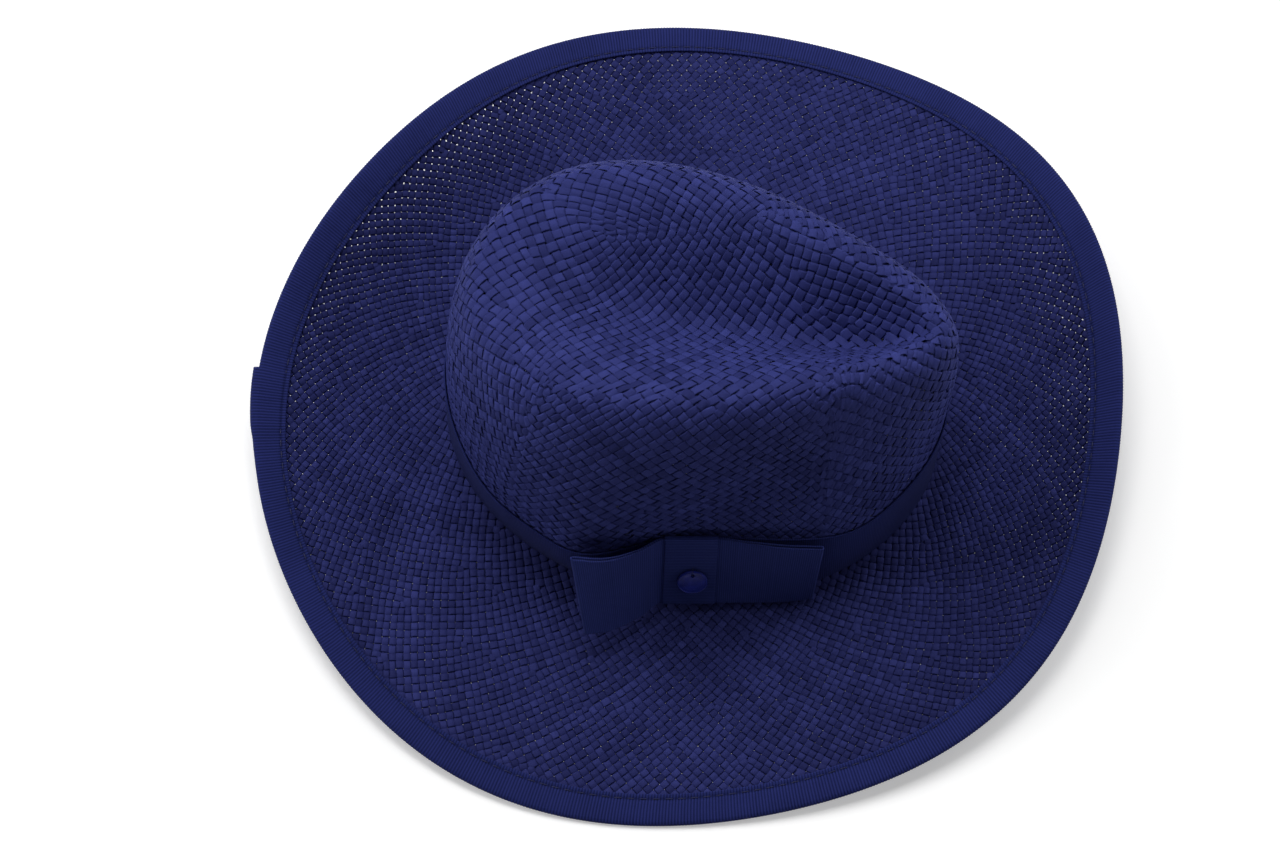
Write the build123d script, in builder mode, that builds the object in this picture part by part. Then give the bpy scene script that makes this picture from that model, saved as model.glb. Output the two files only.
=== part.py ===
from build123d import *
import os
from math import asin, cos, degrees, exp, hypot, pi, radians, sin

os.makedirs("parts", exist_ok=True)

# A wide-brimmed woven straw sun hat with a creased crown, standing on its brim, in millimetres.
# Origin: centre of the head opening, in the plane where the crown meets the brim.
# +X is the front of the hat, +Y the wearer's left and +Z up.

# ---- Driving sizes ---------------------------------------------------------------------------

# Straw body: crown and brim are woven in one piece
straw = 1.3                      # thickness of the woven shell
opening_length = 198.0           # head opening inside the straw, front to back
opening_width = 159.4            # head opening inside the straw, side to side
crown_height = 112.0             # ridges of the crown, over the head opening
ridge_end_drop = 5.0             # the ridges are this much lower at the front tip and the back
ridge_length = 172.0             # the ridge line is a drop shape, narrow at the front
ridge_width = 88.0
ridge_offset = 6.0
ridge_taper = 0.42
shoulder_depth = 21.0            # how far the rounded shoulder reaches inwards
shoulder_power = 2.7             # 2 is a round shoulder, more is squarer
wall_lean_power = 1.6            # over 1, the wall starts upright and leans more higher up
break_radius = 4.0               # rounding where the crown turns into the brim

# Creases of the crown
dent_depth = 27.0                # crease along the middle of the top
dent_sharpness = 1.6
dent_back_ramp = 0.95            # share of half the length over which it deepens from the back
pinch_depth = 9.5                # finger pinch in each side
pinch_low_angle = radians(88)    # where the pinch starts, at the brim
pinch_turn = radians(34)         # how far it runs forwards on its way up
pinch_spread = radians(22)
belly_depth = 6.0                # fullness of each side, behind the pinch
belly_angle = radians(126)
belly_spread = radians(21)
low_folds = (                    # low on each side: depth inwards, middle and spread
    (-6.0, radians(108), radians(10)),
    (3.0, radians(89.5), radians(13.5)),
    (-2.6, radians(44), radians(11.5)),
)

# Brim: radius and height of its edge, each a mean and a few waves (order, cosine, sine)
edge_radius = 176.4
edge_radius_waves = ((1, 0.0, 3.5), (2, -3.8, 3.2), (3, 0.0, -3.0), (5, -1.9, 0.0))
edge_height = 8.75
edge_height_waves = ((1, 0.0, 7.2), (2, 11.0, 0.0), (3, 0.0, 6.2), (4, -2.75, 0.0))
brim_curl = 1.7                  # 1 is a straight slope, more turns up nearer the edge

# Ribbons, threads and the clearances between sewn layers
ribbon = 0.5                     # thickness of one layer of grosgrain
sewing_gap = 0.25                # ribbon to straw
layer_gap = 0.15                 # ribbon to ribbon
thread_radius = 0.2
thread_gap = 0.05

# Edge binding, and the wire in its fold
binding_width = 10.0             # ribbon on each face of the brim
wire_radius = 0.7
stitch_inset = 2.0               # stitch line to the binding's inner edge

# Hatband and sweatband
band_low = 4.5
band_high = 36.0
sweatband = 0.8
sweatband_low = 4.5
sweatband_high = 33.0
sweatband_stitch_height = 7.0

# Size tag inside the back of the sweatband
tag = 0.25
tag_width = 22.0
tag_low = 12.0
tag_high = 24.0

# Bow: a flat folded ribbon, wrapped at its middle by a knot
knot_angle = radians(-85.4)
knot_height = 20.0               # its middle over the head opening
knot_seat = 3.0                  # from the hatband at its middle, so that its corners clear
knot_twist = 6.0                 # degrees it turns to follow the pinched side
knot_width = 21.0
bow_height = 35.0
fold = 1.6                       # distance between the layers at each folded end

# Charm: a domed disc that hangs on a thread through a hole near its rim
charm_radius = 6.0
charm_rim = 0.9                  # thickness at the rim
charm_dome = 0.35                # extra thickness at the middle
charm_edge_fillet = 0.25
charm_hole_radius = 0.8
charm_hole_inset = 2.2           # hole centre to rim
charm_side = 1.0                 # place of the disc's middle, from the knot's middle
charm_drop = 4.4
charm_pivot = 5.3                # pivot line over the disc's middle
charm_standoff = 1.05            # pivot line to the knot's face
charm_thread_radius = 0.15
charm_loop_radius = 1.2
charm_loop_end = 33.0            # degrees from upright where the loop runs straight to the knot
charm_thread_gap = 0.25          # its ends to the knot

# ---- Shape of the straw's outer face ---------------------------------------------------------

RIDGE, BREAK, EDGE = 1.0, 2.0, 3.0   # stations; 0 is the middle of the crown's top

base_half_length = opening_length / 2 + straw
base_half_width = opening_width / 2 + straw


def waves(mean, terms, angle):
    """A mean value plus cosine and sine waves round the hat."""
    return mean + sum(c * cos(order * angle) + s * sin(order * angle) for order, c, s in terms)


def base_plan(angle):
    """Oval of the head opening, outside the straw."""
    return base_half_length * cos(angle), base_half_width * sin(angle)


def ridge_plan(angle, share=1.0):
    """Drop shape of the ridge line, or a smaller copy of it round the same centre."""
    x = ridge_offset + share * ridge_length / 2 * cos(angle)
    y = share * ridge_width / 2 * sin(angle) * (1 - ridge_taper * cos(angle))
    return x, y


def edge_plan(angle):
    """Wavy outline of the brim."""
    radius = waves(edge_radius, edge_radius_waves, angle)
    return radius * cos(angle), radius * sin(angle)


def ridge_height(along):
    """Height of the ridges, where along runs from -1 at the back to 1 at the front tip."""
    return crown_height - ridge_end_drop * along**2


def top_point(angle, share):
    """Crown top: two ridges with a crease between them that fades out at both ends."""
    x, y = ridge_plan(angle, share)
    along = share * cos(angle)
    half_width = ridge_width / 2 * max(1 - along**2, 1e-9) ** 0.5 * (1 - ridge_taper * along)
    across = min(abs(y) / half_width, 1.0)
    ramp = sin(pi / 2 * min((along + 1) / dent_back_ramp, 1.0)) ** 2
    depth = dent_depth * ramp * (1 - max(along, 0.0) ** 5)
    return Vector(x, y, ridge_height(along) - depth * (1 - across**dent_sharpness) ** 2)


def side_dent(angle, rise):
    """How far the pinches and folds, less the fullness behind them, push the wall inwards."""
    angle = abs((angle + pi) % (2 * pi) - pi)
    pinched = exp(-(((angle - pinch_low_angle + pinch_turn * rise) / pinch_spread) ** 2))
    full = exp(-(((angle - belly_angle) / belly_spread) ** 2))
    hump = rise * (1 - rise) ** 1.3 / 0.207
    low_hump = rise * (1 - rise) ** 3 / 0.105
    folded = sum(depth * exp(-(((angle - middle) / spread) ** 2))
                 for depth, middle, spread in low_folds)
    return (pinch_depth * pinched - belly_depth * full) * hump + folded * low_hump


def wall_point(angle, turn):
    """Crown wall: upright at the brim (0), leaning and rounding over to the ridge (1)."""
    rise = sin(turn * pi / 2) ** (2 / shoulder_power)
    rest = max(cos(turn * pi / 2), 0.0) ** (2 / shoulder_power)
    x, y = base_plan(angle)
    ridge_x, ridge_y = ridge_plan(angle)
    run = hypot(ridge_x - x, ridge_y - y)
    lean = (run - shoulder_depth) * rise**wall_lean_power
    reach = (lean + shoulder_depth * (1 - rest) + side_dent(angle, rise)) / run
    height = break_radius + (ridge_height(cos(angle)) - break_radius) * rise
    return Vector(x + (ridge_x - x) * reach, y + (ridge_y - y) * reach, height)


def brim_run(angle):
    """Level distance from the crown to the edge of the brim."""
    x, y = base_plan(angle)
    edge_x, edge_y = edge_plan(angle)
    return hypot(edge_x - x, edge_y - y)


def brim_point(angle, share):
    """Brim: leaves the crown level, past a small rounding, and curls to its edge's height."""
    x, y = base_plan(angle)
    edge_x, edge_y = edge_plan(angle)
    rounding = break_radius * exp(-share * brim_run(angle) / (0.6 * break_radius))
    height = waves(edge_height, edge_height_waves, angle) * share**brim_curl + rounding
    return Vector(x + (edge_x - x) * share, y + (edge_y - y) * share, height)


def face_point(angle, station):
    """Point of the straw's outer face."""
    if station < RIDGE:
        return top_point(angle, station)
    if station < BREAK:
        return wall_point(angle, BREAK - station)
    return brim_point(angle, station - BREAK)


def directions(angle, station, step=1e-3):
    """Unit vectors of the outer face: away from the crown's middle, and out of the straw."""
    low, high = max(station - step, 0.0), station + step
    down = face_point(angle, high) - face_point(angle, low)
    side = face_point(angle + step, station) - face_point(angle - step, station)
    normal = down.cross(side).normalized()
    return side.cross(normal).normalized(), normal


def skin(angle, station, offset=0.0):
    """Point at a distance over the straw's outer face."""
    return face_point(angle, station) + directions(angle, station)[1] * offset


def wall_station(height):
    """Station of the crown wall at a height."""
    rise = (height - break_radius) / (crown_height - break_radius)
    return BREAK - asin(rise ** (shoulder_power / 2)) * 2 / pi


# ---- Solids that follow the hat round --------------------------------------------------------

ring_angles = [2 * pi * step / 60 for step in range(60)]


def ring_edges(section, angles=ring_angles, periodic=True):
    """One smooth line round the hat through each corner that section(angle) gives."""
    rows = [section(angle) for angle in angles]
    steps = [float(k) for k in range(len(rows) + periodic)]
    return [Edge.make_spline(list(corner), periodic=periodic, parameters=steps)
            for corner in zip(*rows)]


def joined(edges):
    """The faces between each line and the one before it, closed into a loop."""
    return [Face.make_surface_from_curves(edges[k - 1], edges[k]) for k in range(len(edges))]


def ring_solid(section):
    """Closed band right round the hat, with the outline that section(angle) gives."""
    return Solid(Shell(joined(ring_edges(section))))


def arc_solid(section, angles):
    """Part of a four-cornered band, with both ends closed."""
    edges = ring_edges(section, angles, periodic=False)
    ends = []
    for angle in (angles[0], angles[-1]):
        a, b, c, d = section(angle)
        ends.append(Face.make_surface_from_curves(Edge.make_line(a, b), Edge.make_line(d, c)))
    return Solid(Shell(joined(edges) + ends))


def wall_band(low, high, inner, outer, steps=8):
    """Outline of a band on the crown wall, between two heights and two offsets."""
    stations = [wall_station(low + (high - low) * k / steps) for k in range(steps + 1)]

    def section(angle):
        up = [skin(angle, station, outer) for station in stations]
        down = [skin(angle, station, inner) for station in reversed(stations)]
        return up + down

    return section


def thread_ring(place):
    """Outline of a thread: a hexagon round place(angle), which gives centre and directions."""

    def section(angle):
        centre, side, normal = place(angle)
        turns = [pi / 3 * k for k in range(6)]
        return [centre + (side * cos(t) + normal * sin(t)) * thread_radius for t in turns]

    return section


# ---- Straw body ------------------------------------------------------------------------------

top_shares = [0.08, 0.18, 0.3, 0.42, 0.54, 0.65, 0.75, 0.84, 0.93, 1.0]
wall_heights = [band_high + (crown_height - band_high) * share
                for share in (0.99, 0.97, 0.93, 0.87, 0.79, 0.69, 0.57, 0.43, 0.29, 0.15)]
wall_heights += [band_low + (band_high - band_low) * share for share in (1, 0.75, 0.5, 0.25, 0.08)]
brim_shares = [0, 0.012, 0.03, 0.06, 0.12, 0.3, 0.5, 0.7, 0.85, 0.92, 1.0]
stations = top_shares + [wall_station(height) for height in wall_heights]
stations += [BREAK + share for share in brim_shares]


def straw_face(offset):
    """Rings at an offset from the outer face, and the faces between them up to the middle."""
    rings = ring_edges(lambda angle: [skin(angle, station, offset) for station in stations])
    middle = Vertex(*(face_point(0, 0) + Vector(0, 0, offset)))
    face = Shell.make_loft([middle] + [Wire([ring]) for ring in rings], ruled=True)
    return face.faces(), rings[-1]


outer_faces, outer_edge = straw_face(0.0)
inner_faces, inner_edge = straw_face(-straw)
cut_edge = Face.make_surface_from_curves(outer_edge, inner_edge)
straw_shell = Solid(Shell([*outer_faces, *inner_faces, cut_edge]))

with BuildPart() as straw_body:
    add(straw_shell)

straw_body.part.label = "straw_body"
export_step(straw_body.part, "parts/straw_body.step")

# ---- Brim edge: wire, binding and stitching --------------------------------------------------

wire_out = sewing_gap + wire_radius                       # wire centre, past the straw's edge
fold_inner = wire_out + wire_radius + sewing_gap          # inside of the binding's fold
fold_outer = fold_inner + ribbon
half_inner = straw / 2 + sewing_gap                       # from the middle of the straw
half_outer = half_inner + ribbon


def edge_frame(angle):
    """Middle of the straw at the brim's edge, with its two directions."""
    side, normal = directions(angle, EDGE)
    return face_point(angle, EDGE) - normal * straw / 2, side, normal


def binding_section(angle):
    """The ribbon's outline: up one face of the brim, round the wire and back, inside and out."""
    middle, side, normal = edge_frame(angle)
    rows = [EDGE - binding_width * share / brim_run(angle) for share in (1.0, 0.67, 0.33)]
    top = [skin(angle, row, half_outer - straw / 2) for row in rows]
    under = [skin(angle, row, -half_outer - straw / 2) for row in rows]
    top_in = [skin(angle, row, half_inner - straw / 2) for row in rows]
    under_in = [skin(angle, row, -half_inner - straw / 2) for row in rows]
    outer = [(0.0, half_outer), (wire_out, half_outer), (fold_outer, wire_radius)]
    inner = [(0.0, half_inner), (wire_out, half_inner), (fold_inner, wire_radius / 2)]
    nose = [middle + side * out + normal * up for out, up in outer]
    nose += [middle + side * out - normal * up for out, up in reversed(outer)]
    hollow = [middle + side * out - normal * up for out, up in inner]
    hollow += [middle + side * out + normal * up for out, up in reversed(inner)]
    return top + nose + under[::-1] + under_in + hollow + top_in[::-1]


def wire_section(angle):
    middle, side, normal = edge_frame(angle)
    turns = [pi / 4 * k for k in range(8)]
    rim = [side * cos(t) + normal * sin(t) for t in turns]
    return [middle + side * wire_out + spoke * wire_radius for spoke in rim]


def binding_stitch(face):
    """Place of the stitch line on the binding's upper (1) or lower (-1) face."""
    lift = half_outer + thread_gap + thread_radius

    def place(angle):
        station = EDGE - (binding_width - stitch_inset) / brim_run(angle)
        side, normal = directions(angle, station)
        return skin(angle, station, face * lift - straw / 2), side, normal

    return place


with BuildPart() as brim_wire:
    add(ring_solid(wire_section))

with BuildPart() as brim_binding:
    add(ring_solid(binding_section))

with BuildPart() as binding_stitching:
    add(ring_solid(thread_ring(binding_stitch(1))))
    add(ring_solid(thread_ring(binding_stitch(-1))))

brim_wire.part.label = "brim_wire"
brim_binding.part.label = "brim_binding"
binding_stitching.part.label = "binding_stitching"
export_step(brim_wire.part, "parts/brim_wire.step")
export_step(brim_binding.part, "parts/brim_binding.step")
export_step(binding_stitching.part, "parts/binding_stitching.step")

# ---- Hatband, sweatband, its stitching and the size tag --------------------------------------

band_face = sewing_gap + ribbon                           # hatband's outer face, over the straw
sweat_outer = -straw - sewing_gap
sweat_inner = sweat_outer - sweatband
sweat_thread = sweat_inner - thread_gap - thread_radius


def sweatband_stitch(angle):
    station = wall_station(sweatband_stitch_height)
    side, normal = directions(angle, station)
    return skin(angle, station, sweat_thread), side, normal


def tag_section(angle):
    low, high = wall_station(tag_low), wall_station(tag_high)
    outer, inner = sweat_inner - layer_gap, sweat_inner - layer_gap - tag
    return [skin(angle, low, outer), skin(angle, high, outer),
            skin(angle, high, inner), skin(angle, low, inner)]


tag_turn = tag_width / base_half_width                    # angle that the tag spans at the back

with BuildPart() as hatband:
    add(ring_solid(wall_band(band_low, band_high, sewing_gap, band_face)))

with BuildPart() as sweatband_strip:
    add(ring_solid(wall_band(sweatband_low, sweatband_high, sweat_inner, sweat_outer)))

with BuildPart() as sweatband_stitching:
    add(ring_solid(thread_ring(sweatband_stitch)))

with BuildPart() as size_tag:
    add(arc_solid(tag_section, [pi + tag_turn * (k / 6 - 0.5) for k in range(7)]))

hatband.part.label = "hatband"
sweatband_strip.part.label = "sweatband"
sweatband_stitching.part.label = "sweatband_stitching"
size_tag.part.label = "size_tag"
export_step(hatband.part, "parts/hatband.step")
export_step(sweatband_strip.part, "parts/sweatband.step")
export_step(sweatband_stitching.part, "parts/sweatband_stitching.step")
export_step(size_tag.part, "parts/size_tag.step")

# ---- Bow -------------------------------------------------------------------------------------

knot_station = wall_station(knot_height)
knot_out = directions(knot_angle, knot_station)[1]
knot_point = skin(knot_angle, knot_station, band_face + knot_seat)
level = Vector(0, 0, 1).cross(knot_out).normalized()
up = knot_out.cross(level)
along = level.rotate(Axis((0, 0, 0), up), knot_twist)
out = along.cross(up)

knot_back = ribbon                                        # faces, measured out of the seat
bow_back = knot_back + layer_gap + ribbon / 2             # middles of the bow's two layers
bow_front = bow_back + ribbon + layer_gap
knot_inside = bow_front + ribbon / 2 + layer_gap
knot_face = knot_inside + ribbon

# Middle of the front layer of each loop, as distances along the knot and out of its seat.
half_knot = knot_width / 2
upper_left = [(-47, 13.5), (-34, 13.7), (-21, 8.8)]
upper_right = [(21, 3.9), (34, 6.0), (51, 7.5)]
lower_left = [(-41, 19.5), (-31, 17.2), (-19, 9.2)]
lower_right = [(21, 1.8), (34, 1.2), (49, -0.1)]
opened = [fold, 1.5, 1.1]        # distance between the layers, from each folded end inwards


def bow_plane(level):
    """Plane square to the knot's upright direction; its axes run along and out of the knot."""
    return Plane(origin=knot_point + up * level, x_dir=along, z_dir=-up)


def bow_outline(left, right, half_thickness):
    """Closed line round both layers of the bow, half a thickness outside their middles."""
    left_front = [Vector(x, z + half_thickness) for x, z in left]
    right_front = [Vector(x, z + half_thickness) for x, z in right]
    left_back = [Vector(x, z - gap - half_thickness) for (x, z), gap in zip(left, opened)]
    right_back = [Vector(x, z - gap - half_thickness)
                  for (x, z), gap in zip(right, reversed(opened))]
    front, back = bow_front + half_thickness, bow_back - half_thickness
    reach = Vector(fold / 2 + half_thickness, 0)
    for first, last, height in ((left_front, right_front, front), (left_back, right_back, back)):
        near, far = Vector(-half_knot, height), Vector(half_knot, height)
        Spline(*first, near, tangents=(first[1] - first[0], (1, 0)))
        Line(near, far)
        Spline(far, *last, tangents=((1, 0), last[-1] - last[-2]))
    ThreePointArc(left_front[0], (left_front[0] + left_back[0]) / 2 - reach, left_back[0])
    ThreePointArc(right_front[-1], (right_front[-1] + right_back[-1]) / 2 + reach, right_back[-1])


with BuildPart() as bow_ribbon:
    for half_thickness, mode in ((ribbon / 2, Mode.ADD), (-ribbon / 2, Mode.SUBTRACT)):
        for level, left, right in ((-bow_height / 2, lower_left, lower_right),
                                   (bow_height / 2, upper_left, upper_right)):
            with BuildSketch(bow_plane(level)):
                with BuildLine():
                    bow_outline(left, right, half_thickness)
                make_face()
        loft(mode=mode)

with BuildPart() as bow_knot:
    with BuildSketch(Plane(origin=knot_point - along * half_knot, x_dir=up, z_dir=along)):
        with Locations((0, knot_face / 2)):
            RectangleRounded(bow_height + 2 * (layer_gap + ribbon), knot_face, 1.0)
        with Locations((0, (knot_back + knot_inside) / 2)):
            RectangleRounded(bow_height + 2 * layer_gap, knot_inside - knot_back, 0.5,
                             mode=Mode.SUBTRACT)
    extrude(amount=knot_width)

bow_ribbon.part.label = "bow_ribbon"
bow_knot.part.label = "bow_knot"
export_step(bow_ribbon.part, "parts/bow_ribbon.step")
export_step(bow_knot.part, "parts/bow_knot.step")

# ---- Charm on its thread ---------------------------------------------------------------------

pivot = (knot_point + along * charm_side + up * (charm_pivot - charm_drop)
         + out * (knot_face + charm_standoff))
disc_middle = pivot - up * charm_pivot
loop_plane = Plane(origin=pivot, x_dir=up, z_dir=along)
thread_drop = charm_standoff - charm_thread_gap           # pivot line to the thread's ends
loop_start = 180 + degrees(asin(thread_drop / charm_loop_radius))

with BuildPart() as charm_disc:
    with BuildSketch(Plane(origin=disc_middle, x_dir=along, z_dir=-up)) as half_disc:
        with BuildLine():
            rim_low, rim_high = (charm_radius, -charm_rim / 2), (charm_radius, charm_rim / 2)
            crest = (0, charm_rim / 2 + charm_dome)
            Polyline(crest, (0, -charm_rim / 2), rim_low, rim_high)
            ThreePointArc(rim_high, (charm_radius / 2, charm_rim / 2 + charm_dome * 0.75), crest)
        make_face()
        fillet(half_disc.vertices().sort_by(Axis.X)[-2:], charm_edge_fillet)
    revolve(axis=Axis(disc_middle, out))
    with BuildSketch(Plane(origin=disc_middle, x_dir=along, z_dir=out)):
        with Locations((0, charm_radius - charm_hole_inset)):
            Circle(charm_hole_radius)
    extrude(amount=charm_rim, both=True, mode=Mode.SUBTRACT)

with BuildPart() as charm_thread:
    with BuildLine(loop_plane) as loop:
        turn = CenterArc((0, 0), charm_loop_radius, loop_start, charm_loop_end - loop_start)
        run = (turn @ 1 - pivot).dot(out) + thread_drop
        Line(turn @ 1, turn @ 1 + (turn % 1) * (run / cos(radians(charm_loop_end))))
    with BuildSketch(Plane(origin=loop.line @ 0, z_dir=loop.line % 0)):
        Circle(charm_thread_radius)
    sweep()

charm_disc.part.label = "charm_disc"
charm_thread.part.label = "charm_thread"
export_step(charm_disc.part, "parts/charm_disc.step")
export_step(charm_thread.part, "parts/charm_thread.step")
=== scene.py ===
"""Dress the straw sun hat: woven straw, grosgrain ribbons, stitching and the hanging charm."""

import logging
import math
from dataclasses import dataclass, field
from enum import Enum
from typing import Callable

import bpy
import numpy as np
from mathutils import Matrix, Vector


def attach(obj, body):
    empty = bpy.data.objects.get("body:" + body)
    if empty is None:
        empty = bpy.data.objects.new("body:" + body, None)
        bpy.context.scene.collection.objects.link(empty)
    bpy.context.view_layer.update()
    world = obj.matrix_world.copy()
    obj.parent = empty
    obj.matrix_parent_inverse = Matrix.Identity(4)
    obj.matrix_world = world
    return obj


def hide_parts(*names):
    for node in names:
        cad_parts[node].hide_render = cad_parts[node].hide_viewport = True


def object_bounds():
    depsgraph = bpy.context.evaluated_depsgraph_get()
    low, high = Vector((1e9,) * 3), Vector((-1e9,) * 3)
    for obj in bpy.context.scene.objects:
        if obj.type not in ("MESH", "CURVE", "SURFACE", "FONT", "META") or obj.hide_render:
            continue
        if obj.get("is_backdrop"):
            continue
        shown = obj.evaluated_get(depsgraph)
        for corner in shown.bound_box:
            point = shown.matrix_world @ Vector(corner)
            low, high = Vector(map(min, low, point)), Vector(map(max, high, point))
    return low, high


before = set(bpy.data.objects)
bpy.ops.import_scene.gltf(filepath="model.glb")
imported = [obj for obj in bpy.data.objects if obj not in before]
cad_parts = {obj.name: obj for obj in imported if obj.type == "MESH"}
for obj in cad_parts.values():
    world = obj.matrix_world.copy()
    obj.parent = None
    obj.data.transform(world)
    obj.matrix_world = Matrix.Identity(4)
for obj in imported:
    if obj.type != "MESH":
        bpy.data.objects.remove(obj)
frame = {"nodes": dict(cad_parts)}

log = logging.getLogger("straw_hat")
MM = 0.001
TURN = 2 * math.pi


# ---- Form of the hat ----


class Station(float, Enum):
    """Stations down the hat: 0 is the crown's middle."""

    RIDGE = 1.0
    BREAK = 2.0
    EDGE = 3.0


def unit(vectors: np.ndarray) -> np.ndarray:
    """Scale vectors along the last axis to length one."""
    return vectors / np.maximum(np.linalg.norm(vectors, axis=-1, keepdims=True), 1e-12)


def bell(offset: np.ndarray, spread: float) -> np.ndarray:
    """Bell curve: e to the power of minus the square of offset over spread."""
    return np.exp(-((offset / spread) ** 2))


def wrapped(angle: np.ndarray) -> np.ndarray:
    """Bring angles into the half-open range from -pi to pi."""
    return (angle + math.pi) % TURN - math.pi


@dataclass(frozen=True)
class HatForm:
    """Outer face of the straw: a creased crown on an oval opening, and a wavy brim."""

    straw: float = 1.3 * MM
    opening_length: float = 198.0 * MM
    opening_width: float = 159.4 * MM
    crown_height: float = 112.0 * MM
    ridge_end_drop: float = 5.0 * MM
    ridge_length: float = 172.0 * MM
    ridge_width: float = 88.0 * MM
    ridge_offset: float = 6.0 * MM
    ridge_taper: float = 0.42
    shoulder_depth: float = 21.0 * MM
    shoulder_power: float = 2.7
    wall_lean_power: float = 1.6
    break_radius: float = 4.0 * MM
    dent_depth: float = 27.0 * MM
    dent_sharpness: float = 1.6
    dent_back_ramp: float = 0.95
    pinch_depth: float = 9.5 * MM
    pinch_low_angle: float = math.radians(88)
    pinch_turn: float = math.radians(34)
    pinch_spread: float = math.radians(22)
    belly_depth: float = 6.0 * MM
    belly_angle: float = math.radians(126)
    belly_spread: float = math.radians(21)
    low_folds: tuple = ((-6.0, 108.0, 10.0), (3.0, 89.5, 13.5), (-2.6, 44.0, 11.5))
    edge_radius: float = 176.4 * MM
    edge_radius_waves: tuple = ((1, 0.0, 3.5), (2, -3.8, 3.2), (3, 0.0, -3.0), (5, -1.9, 0.0))
    edge_height: float = 8.75 * MM
    edge_height_waves: tuple = ((1, 0.0, 7.2), (2, 11.0, 0.0), (3, 0.0, 6.2), (4, -2.75, 0.0))
    brim_curl: float = 1.7

    def waves(self, mean: float, terms: tuple, angle: np.ndarray) -> np.ndarray:
        """A mean plus cosine and sine waves round the hat, whose sizes are in millimetres."""
        return mean + MM * sum(c * np.cos(n * angle) + s * np.sin(n * angle) for n, c, s in terms)

    def base_plan(self, angle: np.ndarray) -> np.ndarray:
        """Oval of the head opening outside the straw: half lengths times cosine and sine."""
        half = np.array([self.opening_length, self.opening_width]) / 2 + self.straw
        return half * np.stack([np.cos(angle), np.sin(angle)], -1)

    def ridge_plan(self, angle: np.ndarray, share: np.ndarray | float = 1.0) -> np.ndarray:
        """Drop shape of the ridges, scaled by share: an oval whose width tapers to the front.

        Args:
            angle: angles round the hat.
            share: 1 on the ridges, 0 at the middle of the crown.

        Returns:
            Level positions.
        """
        x = self.ridge_offset + share * self.ridge_length / 2 * np.cos(angle)
        taper = 1 - self.ridge_taper * np.cos(angle)
        y = share * self.ridge_width / 2 * np.sin(angle) * taper
        return np.stack([x, y + 0 * x], -1)

    def edge_plan(self, angle: np.ndarray) -> np.ndarray:
        """Wavy outline of the brim, a radius with waves on it."""
        radius = self.waves(self.edge_radius, self.edge_radius_waves, angle)
        return np.stack([radius * np.cos(angle), radius * np.sin(angle)], -1)

    def ridge_height(self, along: np.ndarray) -> np.ndarray:
        """Height of the ridges, lower by the square of the way to either end."""
        return self.crown_height - self.ridge_end_drop * along**2

    def top(self, angle: np.ndarray, share: np.ndarray) -> np.ndarray:
        """Crown top: the ridge height less a crease that is full at the middle line.

        The crease is depth * ramp * (1 - across ** sharpness) ** 2, where ramp grows from the
        back as a squared sine and closes at the front tip with a fifth power.

        Args:
            angle: angles round the hat.
            share: 1 on the ridges, 0 at the middle of the crown.

        Returns:
            Points.
        """
        plan = self.ridge_plan(angle, share)
        along = share * np.cos(angle)
        half_width = self.ridge_width / 2 * np.sqrt(np.maximum(1 - along**2, 1e-9))
        across = np.minimum(np.abs(plan[..., 1]) / (half_width * (1 - self.ridge_taper * along)), 1)
        ramp = np.sin(math.pi / 2 * np.clip((along + 1) / self.dent_back_ramp, 0, 1)) ** 2
        depth = self.dent_depth * ramp * (1 - np.maximum(along, 0) ** 5)
        height = self.ridge_height(along) - depth * (1 - across**self.dent_sharpness) ** 2
        return np.concatenate([plan, height[..., None]], -1)

    def side_dent(self, angle: np.ndarray, rise: np.ndarray) -> np.ndarray:
        """Pinch less belly, and the low folds: bell curves in angle times a hump in the rise.

        The humps are rise * (1 - rise) ** 1.3, and rise * (1 - rise) ** 3 for the folds, whose
        depth inwards, middle and spread are in millimetres and degrees.

        Args:
            angle: angles round the hat.
            rise: 0 at the brim, 1 at the ridge.

        Returns:
            Depths inwards.
        """
        angle = np.abs(wrapped(angle))
        shift = angle - self.pinch_low_angle + self.pinch_turn * rise
        pinched = bell(shift, self.pinch_spread)
        full = bell(angle - self.belly_angle, self.belly_spread)
        hump = rise * np.maximum(1 - rise, 0) ** 1.3 / 0.207
        low_hump = rise * np.maximum(1 - rise, 0) ** 3 / 0.105
        folded = MM * sum(depth * bell(np.degrees(angle) - middle, spread)
                          for depth, middle, spread in self.low_folds)
        return (self.pinch_depth * pinched - self.belly_depth * full) * hump + folded * low_hump

    def wall(self, angle: np.ndarray, turn: np.ndarray) -> np.ndarray:
        """Crown wall from the brim (0) to the ridge (1), on a superellipse arc.

        The rise and the rest are sine and cosine to the power 2 / shoulder_power. The reach
        inwards is a lean that grows with the rise, the rounded shoulder and the side dent.

        Args:
            angle: angles round the hat.
            turn: 0 at the brim, 1 at the ridge.

        Returns:
            Points.
        """
        power = 2 / self.shoulder_power
        arc = np.clip(turn, 0, 1) * math.pi / 2
        rise, rest = np.sin(arc) ** power, np.maximum(np.cos(arc), 0) ** power
        base, ridge = self.base_plan(angle), self.ridge_plan(angle)
        run = np.linalg.norm(ridge - base, axis=-1)
        lean = (run - self.shoulder_depth) * rise**self.wall_lean_power
        reach = (lean + self.shoulder_depth * (1 - rest) + self.side_dent(angle, rise)) / run
        plan = base + (ridge - base) * reach[..., None]
        height = self.break_radius + (self.ridge_height(np.cos(angle)) - self.break_radius) * rise
        return np.concatenate([plan, height[..., None]], -1)

    def brim_run(self, angle: np.ndarray) -> np.ndarray:
        """Level distance from the crown to the brim's edge."""
        return np.linalg.norm(self.edge_plan(angle) - self.base_plan(angle), axis=-1)

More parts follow.
